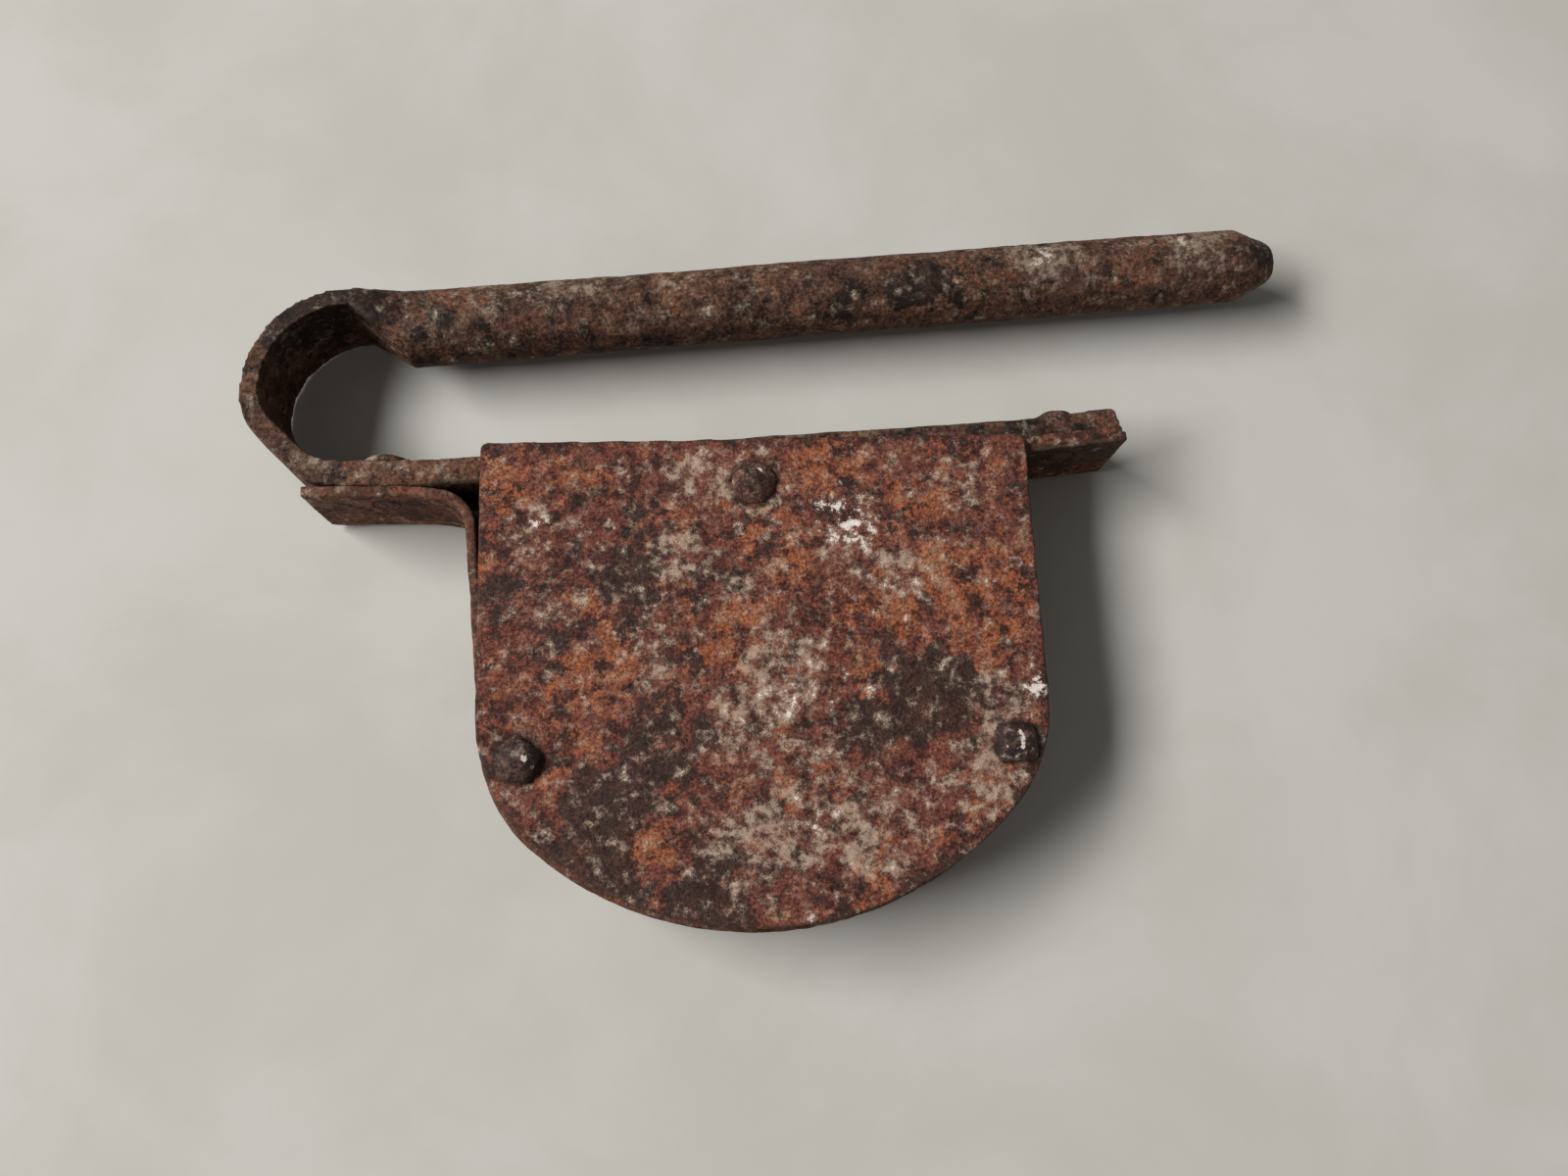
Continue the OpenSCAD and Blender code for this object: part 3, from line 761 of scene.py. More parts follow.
class EdgeWear(Effect):
    """Edges rubbed to another tone, in broken stretches."""

    name = "Edge Wear"
    inputs = {"Colour": UNDER, "Vector": Vector(), "Edge": 0.0, "Break Scale": 260.0,
              "Worn": (0.2, 0.15, 0.1), "Amount": 0.5}
    outputs = {"Colour": tuple, "Mask": float}
    WEAR_BAND = (0.55, 0.95)
    EDGE_BAND = (0.05, 0.5)

    @classmethod
    def build(cls, graph: Graph, given: bpy.types.NodeOutputs) -> dict[str, Feed]:
        """Build the wear from the edge mask, broken by noise."""
        broken = graph.noise(given["Vector"], given["Break Scale"], 3.0, 0.7, 0.2)
        field = graph.weigh((given["Edge"], 0.55), (broken, 0.9))
        mask = graph.times(graph.fade(field, *cls.WEAR_BAND), given["Amount"])
        mask = graph.times(mask, graph.fade(given["Edge"], *cls.EDGE_BAND))
        return {"Colour": graph.mix(mask, given["Colour"], given["Worn"]), "Mask": mask}


class Pitting(Effect):
    """Small dark pits eaten into the metal."""

    name = "Pitting"
    inputs = {"Colour": UNDER, "Vector": Vector(), "Pit Scale": 420.0, "Share": 0.4,
              "Pit": (0.02, 0.01, 0.01)}
    outputs = {"Colour": tuple, "Mask": float}
    PUSH_SCALE = 700.0
    PUSH = (0.0012, 0.0012, 0.0012)
    HOLE_BAND = (0.14, 0.42, 1.0, 0.0)
    SHOWN = 0.75

    @classmethod
    def build(cls, graph: Graph, given: bpy.types.NodeOutputs) -> dict[str, Feed]:
        """Build the pits from cells, of which only a share is eaten."""
        inputs = {"Vector": given["Vector"], "Scale": cls.PUSH_SCALE, "Detail": 2.0}
        push = graph.node("ShaderNodeTexNoise", inputs).outputs[1]
        shift = graph.node("ShaderNodeVectorMath", {0: push, 1: cls.PUSH}, operation="MULTIPLY")
        place = graph.shifted(given["Vector"], shift.outputs[0])
        cells = graph.node("ShaderNodeTexVoronoi", {"Vector": place, "Scale": given["Pit Scale"]})
        lot = graph.node("ShaderNodeSeparateColor", {0: cells.outputs["Color"]}).outputs[0]
        chosen = graph.math("LESS_THAN", lot, given["Share"])
        hole = graph.fade(cells.outputs["Distance"], *cls.HOLE_BAND)
        mask = graph.times(hole, chosen)
        shown = graph.times(mask, cls.SHOWN)
        return {"Colour": graph.mix(shown, given["Colour"], given["Pit"]), "Mask": mask}


class StreakGrain(Effect):
    """Faint forging streaks that run along one direction."""

    name = "Streak Grain"
    inputs = {"Colour": UNDER, "Vector": Vector(), "Along": 40.0, "Across": 520.0, "Amount": 0.3}
    outputs = {"Colour": tuple, "Height": float}
    TINT_BAND = (0.3, 0.7, 0.62, 1.38)

    @classmethod
    def build(cls, graph: Graph, given: bpy.types.NodeOutputs) -> dict[str, Feed]:
        """Build the streaks from noise stretched along X."""
        parts = graph.node("ShaderNodeSeparateXYZ", {0: given["Vector"]}).outputs
        along = graph.times(parts[0], given["Along"])
        across = [graph.times(part, given["Across"]) for part in (parts[1], parts[2])]
        place = graph.node("ShaderNodeCombineXYZ", {0: along, 1: across[0], 2: across[1]}).outputs[0]
        lines = graph.noise(place, 1.0, 3.0, 0.65, 0.3)
        tint = graph.grey(graph.fade(lines, *cls.TINT_BAND))
        streaks = graph.mix(1.0, given["Colour"], tint, "MULTIPLY")
        streaked = graph.mix(given["Amount"], given["Colour"], streaks)
        return {"Colour": streaked, "Height": graph.times(lines, given["Amount"])}


class GrainRelief(Effect):
    """The fine roughness of rust, as a height."""

    name = "Grain Relief"
    inputs = {"Vector": Vector(), "Grain Scale": 700.0, "Height": 0.35}
    outputs = {"Height": float}

    @classmethod
    def build(cls, graph: Graph, given: bpy.types.NodeOutputs) -> dict[str, Feed]:
        """Build the height from one noise."""
        grains = graph.noise(given["Vector"], given["Grain Scale"], 3.0, 0.75)
        return {"Height": graph.times(grains, given["Height"])}


class DustFilm(Effect):
    """A thin pale film of dust on what faces up."""

    name = "Dust Film"
    inputs = {"Colour": UNDER, "Vector": Vector(), "Dust": (0.4, 0.34, 0.28), "Amount": 0.15}
    outputs = {"Colour": tuple, "Mask": float}
    CLOUD_SCALE = 330.0
    CLOUD_BAND = (0.42, 0.68)
    UP_BAND = (0.2, 0.95)

    @classmethod
    def build(cls, graph: Graph, given: bpy.types.NodeOutputs) -> dict[str, Feed]:
        """Build the film from how far the surface faces up, broken by noise."""
        normal = graph.node("ShaderNodeNewGeometry").outputs["Normal"]
        up = graph.node("ShaderNodeSeparateXYZ", {0: normal}).outputs[2]
        cloud = graph.noise(given["Vector"], cls.CLOUD_SCALE, 3.0, 0.7, 0.3)
        mask = graph.times(graph.fade(up, *cls.UP_BAND), graph.fade(cloud, *cls.CLOUD_BAND))
        mask = graph.times(mask, given["Amount"])
        return {"Colour": graph.mix(mask, given["Colour"], given["Dust"]), "Mask": mask}


# ---------------------------------------------------------------------------
# Finishes
# ---------------------------------------------------------------------------


def per_metre(size_mm: float) -> float:
    """Turn the size of a pattern's lumps into how many fit in a metre."""
    return 1000.0 / size_mm


@dataclass(frozen=True)
class RustFinish:
    """Weathered iron: its colours, one of them the near-black of painted shade, the sizes of its pattern, and
    how it takes light.
    """

    name: str
    deep: Colour = (0.088, 0.036, 0.024)
    red: Colour = (0.175, 0.074, 0.046)
    orange: Colour = (0.300, 0.112, 0.052)
    black: Colour = (0.030, 0.016, 0.013)
    lime: Colour = (0.400, 0.290, 0.225)
    chalk: Colour = (0.830, 0.730, 0.660)
    worn: Colour = (0.210, 0.160, 0.120)
    # near-black of the painted shade in the hollows; the pits take it too
    crevice_painted_shade: Colour = (0.022, 0.012, 0.009)
    dust: Colour = (0.400, 0.320, 0.250)
    tan: Colour = (0.300, 0.180, 0.125)
    bloom_size_mm: float = 12.0
    clump_size_mm: float = 6.0
    speck_size_mm: float = 5.0
    grain_size_mm: float = 0.75
    relief_size_mm: float = 1.4
    relief_mm: float = 0.35
    lime_film: float = 0.40
    lime_opacity: float = 0.80
    wear: float = 0.5
    dust_amount: float = 0.10
    pit_size_mm: float = 2.2
    pit_share: float = 0.35
    streak: float = 0.0
    rough_low: float = 0.62
    rough_high: float = 0.92
    specular: float = 0.12
    metallic: float = 0.0
    bump: float = 1.0
    streak_height: float = 0.25
    # how far the painted shade darkens the hollows
    crevice_shade: float = 0.85

    def material(self) -> bpy.types.Material:
        """Give the finish's material, building it the first time.

        Returns:
            The material.
        """
        found = bpy.data.materials.get(self.name)
        if found:
            return found
        material = bpy.data.materials.new(self.name)
        material.use_nodes = True
        material.diffuse_color = (*self.red, 1.0)
        material.node_tree.nodes.clear()
        graph = Graph(material.node_tree)
        colour, height, smooth_share, rough_share = self.layers(graph)
        roughness = graph.fade(graph.math("SUBTRACT", rough_share, smooth_share), -1.0, 1.0,
                               self.rough_low, self.rough_high)
        bump = graph.node("ShaderNodeBump", {"Height": height, "Strength": self.bump, "Distance": MM})
        shader = graph.node("ShaderNodeBsdfPrincipled", {
            "Base Color": colour, "Roughness": roughness, "Normal": bump.outputs[0],
            "Metallic": self.metallic, "Specular IOR Level": self.specular,
        })
        graph.node("ShaderNodeOutputMaterial", {"Surface": shader.outputs[0]})
        return material

    def layers(self, graph: Graph) -> tuple[Socket, Socket, Socket, Socket]:
        """Stack the shared effects, from bare scale up to dust, then paint shade into the hollows.

        Args:
            graph: The material's tree.

        Returns:
            The colour, the height in millimetres, what makes it smoother, and what makes it rougher.
        """
        place = graph.node("ShaderNodeTexCoord").outputs["Object"]
        # the masks, the painted shade in the hollows among them
        stains = {stain: self.stain(graph, stain) for stain in StainAndShade}
        mottle = RustMottle.place(
            graph, Vector=place, Clump_Scale=per_metre(self.clump_size_mm),
            Bloom_Scale=per_metre(self.bloom_size_mm), Grain_Scale=per_metre(self.grain_size_mm),
            Black=self.black, Deep=self.deep, Red=self.red, Orange=self.orange, Tan=self.tan,
            Glow=stains[StainAndShade.GLOW], Scale_Mask=stains[StainAndShade.SCALE],
        )
        # the pits take the painted shade's near-black
        pits = Pitting.place(graph, Colour=mottle["Colour"], Vector=place, Share=self.pit_share,
                             Pit_Scale=per_metre(self.pit_size_mm), Pit=self.crevice_painted_shade)
        grains = GrainRelief.place(graph, Vector=place, Grain_Scale=per_metre(self.relief_size_mm),
                                   Height=self.relief_mm)
        colour, height = pits["Colour"], grains["Height"]
        if self.streak > 0.0:
            streaks = StreakGrain.place(graph, Colour=colour, Vector=place, Amount=self.streak)
            colour = streaks["Colour"]
            height = graph.weigh((height, 1.0), (streaks["Height"], self.streak_height))
        crust = CrustSpeckle.place(
            graph, Colour=colour, Vector=place, Speck_Scale=per_metre(self.speck_size_mm),
            Lime_Cover=stains[StainAndShade.LIME_AND_PAINTED_HIGHLIGHT], Chalk_Cover=stains[StainAndShade.CHALK], Lime=self.lime, Chalk=self.chalk,
            Film=self.lime_film, Opacity=self.lime_opacity,
        )
        wear = EdgeWear.place(graph, Colour=crust["Colour"], Vector=place, Edge=stains[StainAndShade.EDGE],
                              Worn=self.worn, Amount=self.wear)
        film = DustFilm.place(graph, Colour=wear["Colour"], Vector=place, Dust=self.dust,
                              Amount=self.dust_amount)
        # painted shade: darken the hollows toward the near-black
        shade = graph.times(stains[StainAndShade.PAINTED_SHADE], self.crevice_shade)
        colour = graph.mix(shade, film["Colour"], self.crevice_painted_shade)
        return colour, height, mottle["Scale Mask"], crust["Mask"]

    @staticmethod
    def stain(graph: Graph, stain: StainAndShade) -> Socket:
        """Read one mask from the mesh, a stain or the painted shade in the hollows."""
        return graph.node("ShaderNodeAttribute", attribute_name=stain.value).outputs["Fac"]


PLATE_RUST = RustFinish(
    "plate_rust", deep=(0.062, 0.022, 0.017), red=(0.140, 0.045, 0.031), orange=(0.280, 0.086, 0.036),
    black=(0.034, 0.018, 0.014), tan=(0.270, 0.145, 0.088), lime=(0.410, 0.300, 0.222),
    worn=(0.060, 0.030, 0.022), wear=0.6, clump_size_mm=4.2, bloom_size_mm=9.0, speck_size_mm=3.0,
    grain_size_mm=0.6, lime_film=0.45, lime_opacity=0.7, dust_amount=0.03,
)
RIM_RUST = RustFinish(
    "rim_rust", deep=(0.052, 0.020, 0.013), red=(0.110, 0.043, 0.027), orange=(0.170, 0.062, 0.032),
    tan=(0.210, 0.125, 0.085), lime=(0.270, 0.195, 0.140), worn=(0.110, 0.055, 0.037), wear=0.35,
    clump_size_mm=4.0, bloom_size_mm=8.0, speck_size_mm=3.0, streak=0.45, dust_amount=0.03,
)
# its lime colour also paints a highlight along the bar's upper edge
BAR_RUST = RustFinish(
    "bar_rust", deep=(0.050, 0.025, 0.017), red=(0.084, 0.040, 0.026), orange=(0.150, 0.060, 0.032),
    black=(0.012, 0.007, 0.006), tan=(0.160, 0.100, 0.066), lime=(0.260, 0.200, 0.145),
    chalk=(0.560, 0.500, 0.420), worn=(0.120, 0.085, 0.062), wear=0.45, clump_size_mm=3.6, bloom_size_mm=9.0,
    speck_size_mm=3.0, lime_film=0.5, lime_opacity=0.75, streak=0.3, dust_amount=0.03, pit_size_mm=2.8,
)
DARK_PIN_RUST = RustFinish(
    "dark_pin_rust", deep=(0.019, 0.011, 0.009), red=(0.038, 0.020, 0.016), orange=(0.085, 0.042, 0.028),
    black=(0.008, 0.005, 0.004), tan=(0.110, 0.075, 0.060), lime=(0.260, 0.200, 0.165),
    worn=(0.040, 0.025, 0.020), wear=0.4, dust_amount=0.0, clump_size_mm=2.4, bloom_size_mm=4.0,
    speck_size_mm=2.2, grain_size_mm=0.4, rough_low=0.5, specular=0.2,
)
RIVET_RUST = RustFinish(
    "rivet_rust", deep=(0.040, 0.020, 0.016), red=(0.080, 0.038, 0.030), orange=(0.135, 0.058, 0.036),
    tan=(0.150, 0.090, 0.066), lime=(0.300, 0.225, 0.170), worn=(0.100, 0.058, 0.044), wear=0.4,
    clump_size_mm=3.0, bloom_size_mm=6.0, speck_size_mm=2.4, grain_size_mm=0.5, dust_amount=0.02,
)
INNER_RUST = RustFinish(
    "inner_rust", deep=(0.060, 0.033, 0.024), red=(0.110, 0.058, 0.038), rough_low=0.5, metallic=0.25,
    dust_amount=0.03,
)
SPRING_RUST = RustFinish(
    "spring_rust", deep=(0.055, 0.040, 0.033), red=(0.095, 0.062, 0.045), orange=(0.170, 0.085, 0.045),
    black=(0.030, 0.026, 0.024), rough_low=0.4, rough_high=0.8, metallic=0.5, dust_amount=0.0,
)


@dataclass(frozen=True)
class FloorFinish:
    """A plain pale table top with a faint unevenness."""

    name: str = "pale_table"
    pale: Colour = (0.585, 0.570, 0.525)
    dull: Colour = (0.530, 0.512, 0.462)
    clouds_per_metre: float = 14.0
    cloud_band: tuple[float, float] = (0.35, 0.65)
    roughness: float = 0.9
    specular: float = 0.1

    def material(self) -> bpy.types.Material:
        """Build the table's material.

        Returns:
            The material.
        """
        material = bpy.data.materials.new(self.name)
        material.use_nodes = True
        material.node_tree.nodes.clear()
        graph = Graph(material.node_tree)
        place = graph.node("ShaderNodeTexCoord").outputs["Object"]
        cloud = graph.noise(place, self.clouds_per_metre, 5.0, 0.6, 0.3)
        colour = graph.mix(graph.fade(cloud, *self.cloud_band), self.dull, self.pale)
        shader = graph.node("ShaderNodeBsdfPrincipled", {
            "Base Color": colour, "Roughness": self.roughness, "Specular IOR Level": self.specular,
        })
        graph.node("ShaderNodeOutputMaterial", {"Surface": shader.outputs[0]})
        return material


# ---------------------------------------------------------------------------
# Sub-assemblies
# ---------------------------------------------------------------------------


def triangles(piece: bpy.types.Object) -> int:
    """Count a piece's triangles."""
    return sum(len(face.vertices) - 2 for face in piece.data.polygons)


@dataclass
class SubAssembly:
    """What every group of pieces shares: how a piece takes its place in the lock."""

    body: str = CASE_BODY

    def settle(self, piece: bpy.types.Object, slot: str, finish: RustFinish, node: str | None = None) -> None:
        """Dress a piece and let it move with the sub-assembly's body.

        Args:
            piece: The new piece.
            slot: The record's material slot; not used.
            finish: Its finish.
            node: The frame's node that it stands for, if any.
        """
        piece.data.materials.append(finish.material())
        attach(piece, self.body)
        if node:
            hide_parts(node)
        LOG.info("%s: %d triangles, %s", piece.name, triangles(piece), finish.name)

    @staticmethod
    def dress(node: str, finish: RustFinish) -> None:
        """Give a finish to a solid that the frame keeps.

        Args:
            node: The frame's node.
            finish: Its finish.
        """
        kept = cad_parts[node]
        if not kept.material_slots:
            kept.data.materials.append(None)
        for holder in kept.material_slots:
            holder.material = finish.material()
        LOG.info("%s: kept from the frame, %s", node, finish.name)


PINS = ("top_case_pin", "left_case_pin", "right_case_pin")


@dataclass
class CaseShell(SubAssembly):
    """The two plates and the rim band between them."""

    plate_relief: Relief = Relief(voxel_mm=0.45, sway_mm=0.18, lump_mm=0.07, grain_mm=0.05, nibble_mm=0.10)
    back_relief: Relief = Relief(voxel_mm=0.70, sway_mm=0.15, lump_mm=0.08, grain_mm=0.04, nibble_mm=0.1)
    rim_relief: Relief = Relief(voxel_mm=0.5, sway_mm=0.1, lump_mm=0.12, nibble_mm=0.06)
    seam_relief: Relief = Relief(voxel_mm=0.28, sway_mm=0.1, sway_size_mm=9.0, lump_mm=0.22, lump_size_mm=2.6,
                                 grain_mm=0.06, pit_mm=0.05, nibble_mm=0.05, crust_mm=0.0)
    seam_width_mm: float = 2.6
    seam_flat: float = 0.42
    seam_sunk_mm: float = 0.30
    seam_lap_mm: float = 0.8
    seam_sides: int = 16
    face_near_mm: float = 0.01
    tip_near_mm: float = 0.2
    slope_from_mm: float = 3.0

    def build(self) -> None:
        """Build the plates, the band and the rust at the lug."""
        self.plain_plate()
        self.keyhole_plate()
        self.rim()
        self.lug_seam()

    def plain_plate(self) -> None:
        """Build the plate on the side in view, with its blooms, crusts and dark scale, and painted shade
        round the pin heads.
        """
        rings = {
            # painted shade in a ring round each pin head, and a ring of lime round the top pin
            StainAndShade.PAINTED_SHADE: Ring(PINS, gap_mm=0.2, width_mm=0.9, strength=0.8),
            StainAndShade.LIME_AND_PAINTED_HIGHLIGHT: Ring(PINS[:1], gap_mm=1.4, width_mm=1.6, strength=0.5),
        }
        weathering = Weathering(PLATE_PATCHES, lime=Drift(0.08, 0.20, 7.0), glow=Drift(0.12, 0.35, 8.0),
                                scale=Drift(0.15, 0.28, 9.0), border=0.4)
        skin = grow_skin("plain_plate", "plate_plain", self.plate_relief, weathering, rings, ("key_pin",))
        self.settle(skin, "plate_iron", PLATE_RUST, "plain_plate")

    def keyhole_plate(self) -> None:
        """Build the hidden plate with the keyhole, evenly rusted."""
        skin = grow_skin("keyhole_plate", "plate_keyhole", self.back_relief)
        self.settle(skin, "plate_iron", PLATE_RUST, "keyhole_plate")

    def rim(self) -> None:
        """Build the band round the case, with its two ears."""
        weathering = Weathering(RIM_PATCHES, lime=Drift(0.05, 0.3, 11.0))
        skin = grow_skin("rim_band", "rim", self.rim_relief, weathering)
        self.settle(skin, "rim_iron", RIM_RUST, "rim_band")

    def lug_seam(self) -> None:
        """Build the rust that has closed the seam between the lug and the ear under it."""
        rows = vertex_rows(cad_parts["rim_band"].data, "co")
        front = rows[:, 2].max()
        case_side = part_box("plain_plate")[1].x
        ear = rows[(rows[:, 2] > front - self.face_near_mm * MM) & (rows[:, 0] > case_side)]
        tip = ear[ear[:, 0] > ear[:, 0].max() - self.tip_near_mm * MM]
        outer = max(tip, key=lambda row: row[1])
        inward = ear[ear[:, 0] < outer[0] - self.slope_from_mm * MM]
        slope = float(np.max((inward[:, 1] - outer[1]) / (outer[0] - inward[:, 0])))
        span = outer[0] - case_side + self.seam_lap_mm * MM
        way = Vector((1.0, -slope, 0.0)).normalized()
        middle = Vector(outer) - way * (span / 2 + self.seam_lap_mm * MM)
        middle.z = front - self.seam_sunk_mm * MM
        bead = bmesh.new()
        radius = self.seam_width_mm / 2 * MM
        bmesh.ops.create_cone(bead, cap_ends=True, segments=self.seam_sides, radius1=radius, radius2=radius,
                              depth=span)
        squeeze = Matrix.Diagonal((self.seam_flat, 1.0, 1.0, 1.0))
        turn = Matrix.Rotation(math.atan2(way.y, way.x), 4, "Z") @ Matrix.Rotation(math.pi / 2, 4, "Y")
        bead.transform(Matrix.Translation(middle) @ turn @ squeeze)
        mesh = bpy.data.meshes.new("lug_seam_rust")
        bead.to_mesh(mesh)
        bead.free()
        piece = even_piece("lug_seam_rust", mesh, self.seam_relief.voxel_mm * MM)
        box = (Vector(rows.min(axis=0)), Vector(rows.max(axis=0)))
        wear(piece, box, self.seam_relief, Weathering(), SEEDS[piece.name])
        self.settle(piece, "rim_iron", RIM_RUST)


@dataclass
class Shackle(SubAssembly):
    """The one forging of bar, loop and strap."""

    relief: Relief = Relief(voxel_mm=0.52, sway_mm=0.18, lump_mm=0.16, lump_size_mm=7.0, pit_mm=0.16,
                            pit_size_mm=3.2, nibble_mm=0.06)

    def build(self) -> None:
        """Build the forging."""
        weathering = Weathering(BAR_PATCHES, lime=Drift(0.05, 0.25, 9.0), glow=Drift(0.12, 0.30, 10.0),
                                scale=Drift(0.15, 0.25, 9.0))
        skin = grow_skin("shackle_bar", "shackle", self.relief, weathering)
        self.settle(skin, "forged_bar", BAR_RUST, "shackle_bar")


@dataclass
class Fasteners(SubAssembly):
    """Ear rivets and case pins, each hammered by hand."""

    relief: Relief = Relief(voxel_mm=0.22, sway_mm=0.06, sway_size_mm=5.0, lump_mm=0.14, lump_size_mm=2.6,
                            grain_mm=0.035, grain_size_mm=0.7, pit_mm=0.06, pit_size_mm=1.1, nibble_mm=0.14,
                            nibble_size_mm=2.0, crust_mm=0.05)

    def build(self) -> None:
        """Build the five fasteners."""
        brown, dark = ("rivet_iron", RIVET_RUST), ("dark_pin_iron", DARK_PIN_RUST)
        kinds = {
            "left_ear_rivet": brown, "right_ear_rivet": brown, "top_case_pin": brown,
            "left_case_pin": dark, "right_case_pin": dark,
        }
        for node, (slot, finish) in kinds.items():
            weathering = Weathering(PIN_PATCHES.get(node, ()), lime=Drift(0.0, 0.2, 3.0), warp_mm=0.5)
            skin = grow_skin(node, node + "_head", self.relief, weathering)
            self.settle(skin, slot, finish, node)


@dataclass
class LockWork(SubAssembly):
    """What hides in the case: bolt, guides, wards, key pin and spring."""

    kept: tuple[str, ...] = ("lock_bolt", "left_bolt_guide", "right_bolt_guide", "spring_stud",
                             "keyhole_ward", "inner_ward")
    spring_relief: Relief = Relief(voxel_mm=0.25, sway_mm=0.0, lump_mm=0.03, grain_mm=0.02, pit_mm=0.03,
                                   nibble_mm=0.03, crust_mm=0.0)
    spring_keep: float = 0.25
    tail_sunk_mm: float = 0.8

    def build(self) -> None:
        """Dress the kept solids, and build the key pin and the spring."""
        for node in self.kept:
            self.dress(node, INNER_RUST)
        self.key_pin()
        self.spring()

    def key_pin(self) -> None:
        """Build the key pin, whose tail is worn down inside the plain plate."""
        skin = grow_skin("key_pin", "key_pin_worn", self.spring_relief)
        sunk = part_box("plain_plate")[1].z - self.tail_sunk_mm * MM
        for vertex in skin.data.vertices:
            vertex.co.z = min(vertex.co.z, sunk)
        self.settle(skin, "inner_iron", INNER_RUST, "key_pin")

    def spring(self) -> None:
        """Build the leaf spring, on a mesh of its own."""
        skin = grow_skin("bolt_spring", "leaf_spring", self.spring_relief)
        self.settle(skin, "spring_steel", SPRING_RUST, "bolt_spring")
        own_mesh(skin)


def patches(stain: StainAndShade, *places: tuple[float, ...]) -> tuple[Patch, ...]:
    """Write out patches of one stain, each a place that a Patch takes after its stain."""
    return tuple(Patch(stain, *place) for place in places)


PLATE_PATCHES = (
    # pale bloom: the middle, and a broad drift down to the foot and the lower right
    *patches(StainAndShade.LIME_AND_PAINTED_HIGHLIGHT, (0.53, 0.48, 10, 0.9), (0.46, 0.38, 9, 0.75), (0.55, 0.21, 13, 0.6),
             (0.43, 0.17, 9, 0.65), (0.66, 0.14, 10, 0.55), (0.87, 0.24, 11, 0.85), (0.31, 0.55, 6, 0.6),
             (0.91, 0.37, 8, 0.7)),
    # pale bloom: smaller ones near the top and the left side
    *patches(StainAndShade.LIME_AND_PAINTED_HIGHLIGHT, (0.40, 0.90, 8, 0.7), (0.12, 0.81, 6, 0.6), (0.36, 0.73, 6, 0.7),
             (0.47, 0.67, 7, 0.6), (0.75, 0.66, 7, 0.8), (0.66, 0.76, 9, 0.6), (0.16, 0.65, 6, 0.4),
             (0.86, 0.85, 6, 0.5), (0.05, 0.35, 8, 0.5)),
    # white crust near the upper right, with a few flecks elsewhere
    *patches(StainAndShade.CHALK, (0.67, 0.80, 3, 0.30), (0.655, 0.78, 8, 0.45), (0.96, 0.42, 3, 0.55),
             (0.55, 0.46, 9, 0.34), (0.62, 0.31, 1, 1.0), (0.12, 0.82, 2, 0.5), (0.47, 0.39, 5, 0.32),
             (0.56, 0.21, 8, 0.32), (0.75, 0.65, 5, 0.32)),
    # dark scale
    *patches(StainAndShade.SCALE, (0.27, 0.68, 11, 0.65), (0.14, 0.57, 8, 0.5), (0.78, 0.42, 11, 1.0),
             (0.66, 0.36, 6, 0.8), (0.31, 0.36, 10, 0.7), (0.21, 0.25, 9, 0.9), (0.36, 0.08, 9, 0.7),
             (0.13, 0.13, 9, 0.9), (0.20, 0.11, 9, 0.9), (0.74, 0.03, 9, 0.6), (0.08, 0.68, 6, 0.5),
             (0.30, 0.83, 6, 0.4), (0.52, 0.86, 6, 0.4)),
    # orange bloom
    *patches(StainAndShade.GLOW, (0.11, 0.92, 9, 0.5), (0.62, 0.90, 10, 0.6), (0.45, 0.57, 8, 0.5),
             (0.87, 0.60, 14, 0.9), (0.80, 0.81, 8, 0.5), (0.68, 0.54, 9, 0.6), (0.20, 0.49, 9, 0.65),
             (0.06, 0.46, 6, 0.5), (0.15, 0.20, 5, 0.5), (0.28, 0.18, 5, 0.6), (0.63, 0.05, 7, 0.6),
             (0.52, 0.74, 9, 0.4)),
)

RIM_PATCHES = (
    *patches(StainAndShade.LIME_AND_PAINTED_HIGHLIGHT, (0.04, 0.95, 8, 0.6), (0.14, 0.93, 6, 0.5)),
    *patches(StainAndShade.GLOW, (0.10, 0.94, 9, 0.6)),
    *patches(StainAndShade.SCALE, (0.94, 0.95, 14, 1.0)),
)

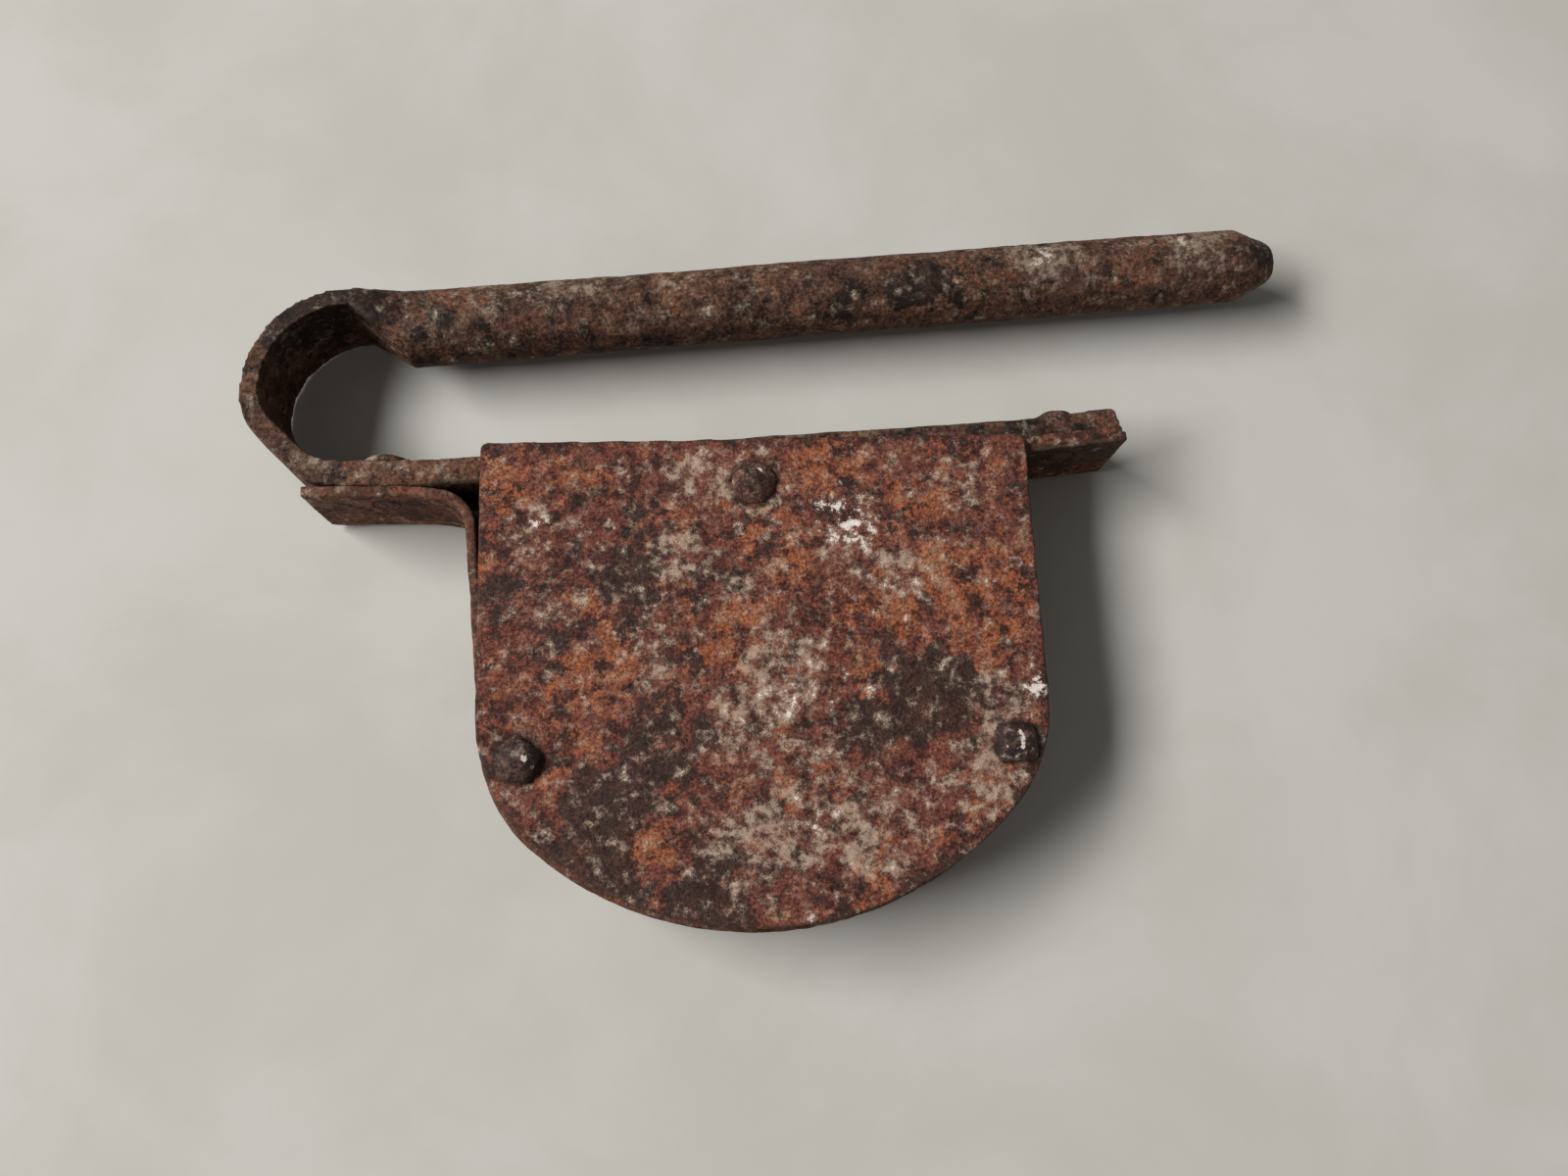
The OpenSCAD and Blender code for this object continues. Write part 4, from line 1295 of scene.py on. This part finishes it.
BAR_PATCHES = (
    # pale lime crust on the bar's upper side, the first three partly a painted highlight along its upper
    # edge, and white bloom before the tip
    *patches(StainAndShade.LIME_AND_PAINTED_HIGHLIGHT, (0.22, 0.93, 9, 0.7), (0.30, 0.93, 10, 0.7), (0.38, 0.94, 8, 0.5),
             (0.70, 0.97, 6, 0.5), (0.755, 0.93, 9, 1.0), (0.79, 0.86, 7, 0.8), (0.91, 0.94, 10, 1.0),
             (0.94, 0.84, 8, 0.7)),
    *patches(StainAndShade.CHALK, (0.76, 0.93, 6, 0.5), (0.90, 0.96, 6, 0.45)),
    # dark scale on the bar's middle, at its very tip and round the loop
    *patches(StainAndShade.SCALE, (0.565, 0.71, 5, 1.0), (0.62, 0.71, 6, 1.0), (0.65, 0.72, 8, 1.0),
             (0.47, 0.68, 6, 0.6), (1.00, 0.84, 9, 1.0), (0.06, 0.75, 15, 0.6), (0.10, 0.95, 12, 0.6),
             (0.17, 0.68, 8, 0.5)),
    *patches(StainAndShade.GLOW, (0.62, 0.90, 6, 0.9), (0.40, 0.85, 9, 0.5), (0.50, 0.85, 9, 0.5),
             (0.18, 0.84, 8, 0.4), (0.86, 0.80, 8, 0.5)),
    # worn strap left of the case, and the lug at its right with a dark start
    *patches(StainAndShade.LIME_AND_PAINTED_HIGHLIGHT, (0.065, 0.17, 4, 0.9), (0.125, 0.07, 2, 0.7), (0.16, 0.07, 2, 0.7)),
    *patches(StainAndShade.GLOW, (0.10, 0.11, 6, 0.8), (0.14, 0.09, 7, 0.8), (0.19, 0.07, 7, 0.8),
             (0.24, 0.07, 7, 0.8), (0.79, 0.09, 7, 0.5), (0.83, 0.12, 6, 0.6)),
    *patches(StainAndShade.SCALE, (0.72, 0.05, 5, 1.0), (0.77, 0.02, 3, 0.6)),
)

PIN_PATCHES = {
    "top_case_pin": patches(StainAndShade.CHALK, (0.66, 0.74, 0.9, 1.0), (0.14, 0.24, 0.9, 1.0)),
    "left_case_pin": (
        *patches(StainAndShade.CHALK, (0.69, 0.47, 1.0, 1.0)),
        *patches(StainAndShade.LIME_AND_PAINTED_HIGHLIGHT, (0.52, 0.60, 1.8, 0.9)),
        *patches(StainAndShade.GLOW, (0.40, 0.30, 3.0, 0.6)),
    ),
    "right_case_pin": (
        *patches(StainAndShade.CHALK, (0.60, 0.86, 0.6, 0.8), (0.56, 0.74, 0.8, 0.6), (0.63, 0.62, 0.7, 0.5),
                 (0.61, 0.50, 0.7, 0.55), (0.63, 0.38, 0.8, 0.6), (0.64, 0.26, 0.7, 0.6),
                 (0.67, 0.14, 0.7, 0.7), (0.68, 0.04, 0.8, 1.0), (0.50, 0.32, 0.6, 0.6),
                 (0.22, 0.36, 0.8, 1.0), (0.92, 0.40, 0.9, 1.0), (0.04, 0.92, 0.9, 1.0),
                 (0.16, 0.74, 0.6, 1.0)),
        *patches(StainAndShade.LIME_AND_PAINTED_HIGHLIGHT, (0.62, 0.56, 1.2, 0.6), (0.64, 0.20, 1.2, 0.6)),
        *patches(StainAndShade.GLOW, (0.85, 0.60, 3.0, 0.7)),
    ),
    "left_ear_rivet": patches(StainAndShade.LIME_AND_PAINTED_HIGHLIGHT, (0.20, 0.95, 3.0, 0.9, 0.8)),
}


# ---------------------------------------------------------------------------
# Studio
# ---------------------------------------------------------------------------


@dataclass
class Studio:
    """A pale table, a wide soft lamp at the left, low fill light and the camera above."""

    table_half: float = 3.0
    lamp_way: tuple[float, float, float] = (-0.724, 0.135, 0.677)
    lamp_far: float = 3.2
    lamp_width: float = 2.40
    lamp_height: float = 0.97
    lamp_power: float = 136.0
    fill: float = 0.12
    fill_tint: Colour = (1.0, 0.99, 0.97)
    table_gap_mm: float = 0.05
    near_clip: float = 0.01
    backdrop: Colour = (0.60, 0.585, 0.545)
    eye: tuple[float, float, float] = (-0.0211, -0.0571, 0.2390)
    turn_deg: tuple[float, float, float] = (13.62, -2.94, -5.30)
    lens_mm: float = 27.7

    def build(self) -> None:
        """Build the table, the light and the camera."""
        self.table()
        self.lamp()
        self.world()
        self.camera()
        bpy.context.scene.view_settings.view_transform = "Standard"

    def table(self) -> None:
        """Build the table top, just under the lock."""
        half, height = self.table_half, CAD_BOX[0].z - self.table_gap_mm * MM
        corners = [(x, y, height) for x, y in ((-half, -half), (half, -half), (half, half), (-half, half))]
        mesh = bpy.data.meshes.new("table_top")
        mesh.from_pydata(corners, [], [(0, 1, 2, 3)])
        mesh.materials.append(FloorFinish().material())
        top = bpy.data.objects.new("table_top", mesh)
        bpy.context.scene.collection.objects.link(top)

    def lamp(self) -> None:
        """Hang one soft lamp, aimed at the lock."""
        data = bpy.data.lights.new("soft_lamp", "AREA")
        data.shape = "RECTANGLE"
        data.size = self.lamp_width
        data.size_y = self.lamp_height
        data.energy = self.lamp_power
        lamp = bpy.data.objects.new("soft_lamp", data)
        way = Vector(self.lamp_way).normalized()
        lamp.location = way * self.lamp_far
        lamp.rotation_mode = "QUATERNION"
        lamp.rotation_quaternion = way.to_track_quat("Z", "Y")
        bpy.context.scene.collection.objects.link(lamp)

    def world(self) -> None:
        """Light the scene evenly, and show a pale backdrop past the table."""
        world = bpy.data.worlds.new("studio")
        world.use_nodes = True
        world.node_tree.nodes.clear()
        bpy.context.scene.world = world
        graph = Graph(world.node_tree)
        rays = graph.node("ShaderNodeLightPath").outputs
        seen = graph.math("MAXIMUM", rays["Is Camera Ray"], rays["Is Glossy Ray"])
        seen = graph.math("MAXIMUM", seen, rays["Is Transmission Ray"])
        light = graph.node("ShaderNodeBackground", {"Color": self.fill_tint, "Strength": self.fill})
        shown = graph.node("ShaderNodeBackground", {"Color": self.backdrop, "Strength": 1.0})
        both = graph.node("ShaderNodeMixShader", {0: seen, 1: light.outputs[0], 2: shown.outputs[0]})
        graph.node("ShaderNodeOutputWorld", {"Surface": both.outputs[0]})

    def camera(self) -> None:
        """Set the camera above the lock, tipped a little toward its lower edge."""
        data = bpy.data.cameras.new("camera")
        data.lens = self.lens_mm
        data.clip_start = self.near_clip
        camera = bpy.data.objects.new("camera", data)
        camera.location = self.eye
        camera.rotation_euler = [math.radians(angle) for angle in self.turn_deg]
        bpy.context.scene.collection.objects.link(camera)
        bpy.context.scene.camera = camera


def main() -> None:
    """Build the lock and its studio in order."""
    logging.basicConfig(level=logging.INFO, format="%(name)s: %(message)s")
    for part in (CaseShell(), Shackle(), Fasteners(), LockWork(), Studio()):
        part.build()


if __name__ == "__main__":
    main()
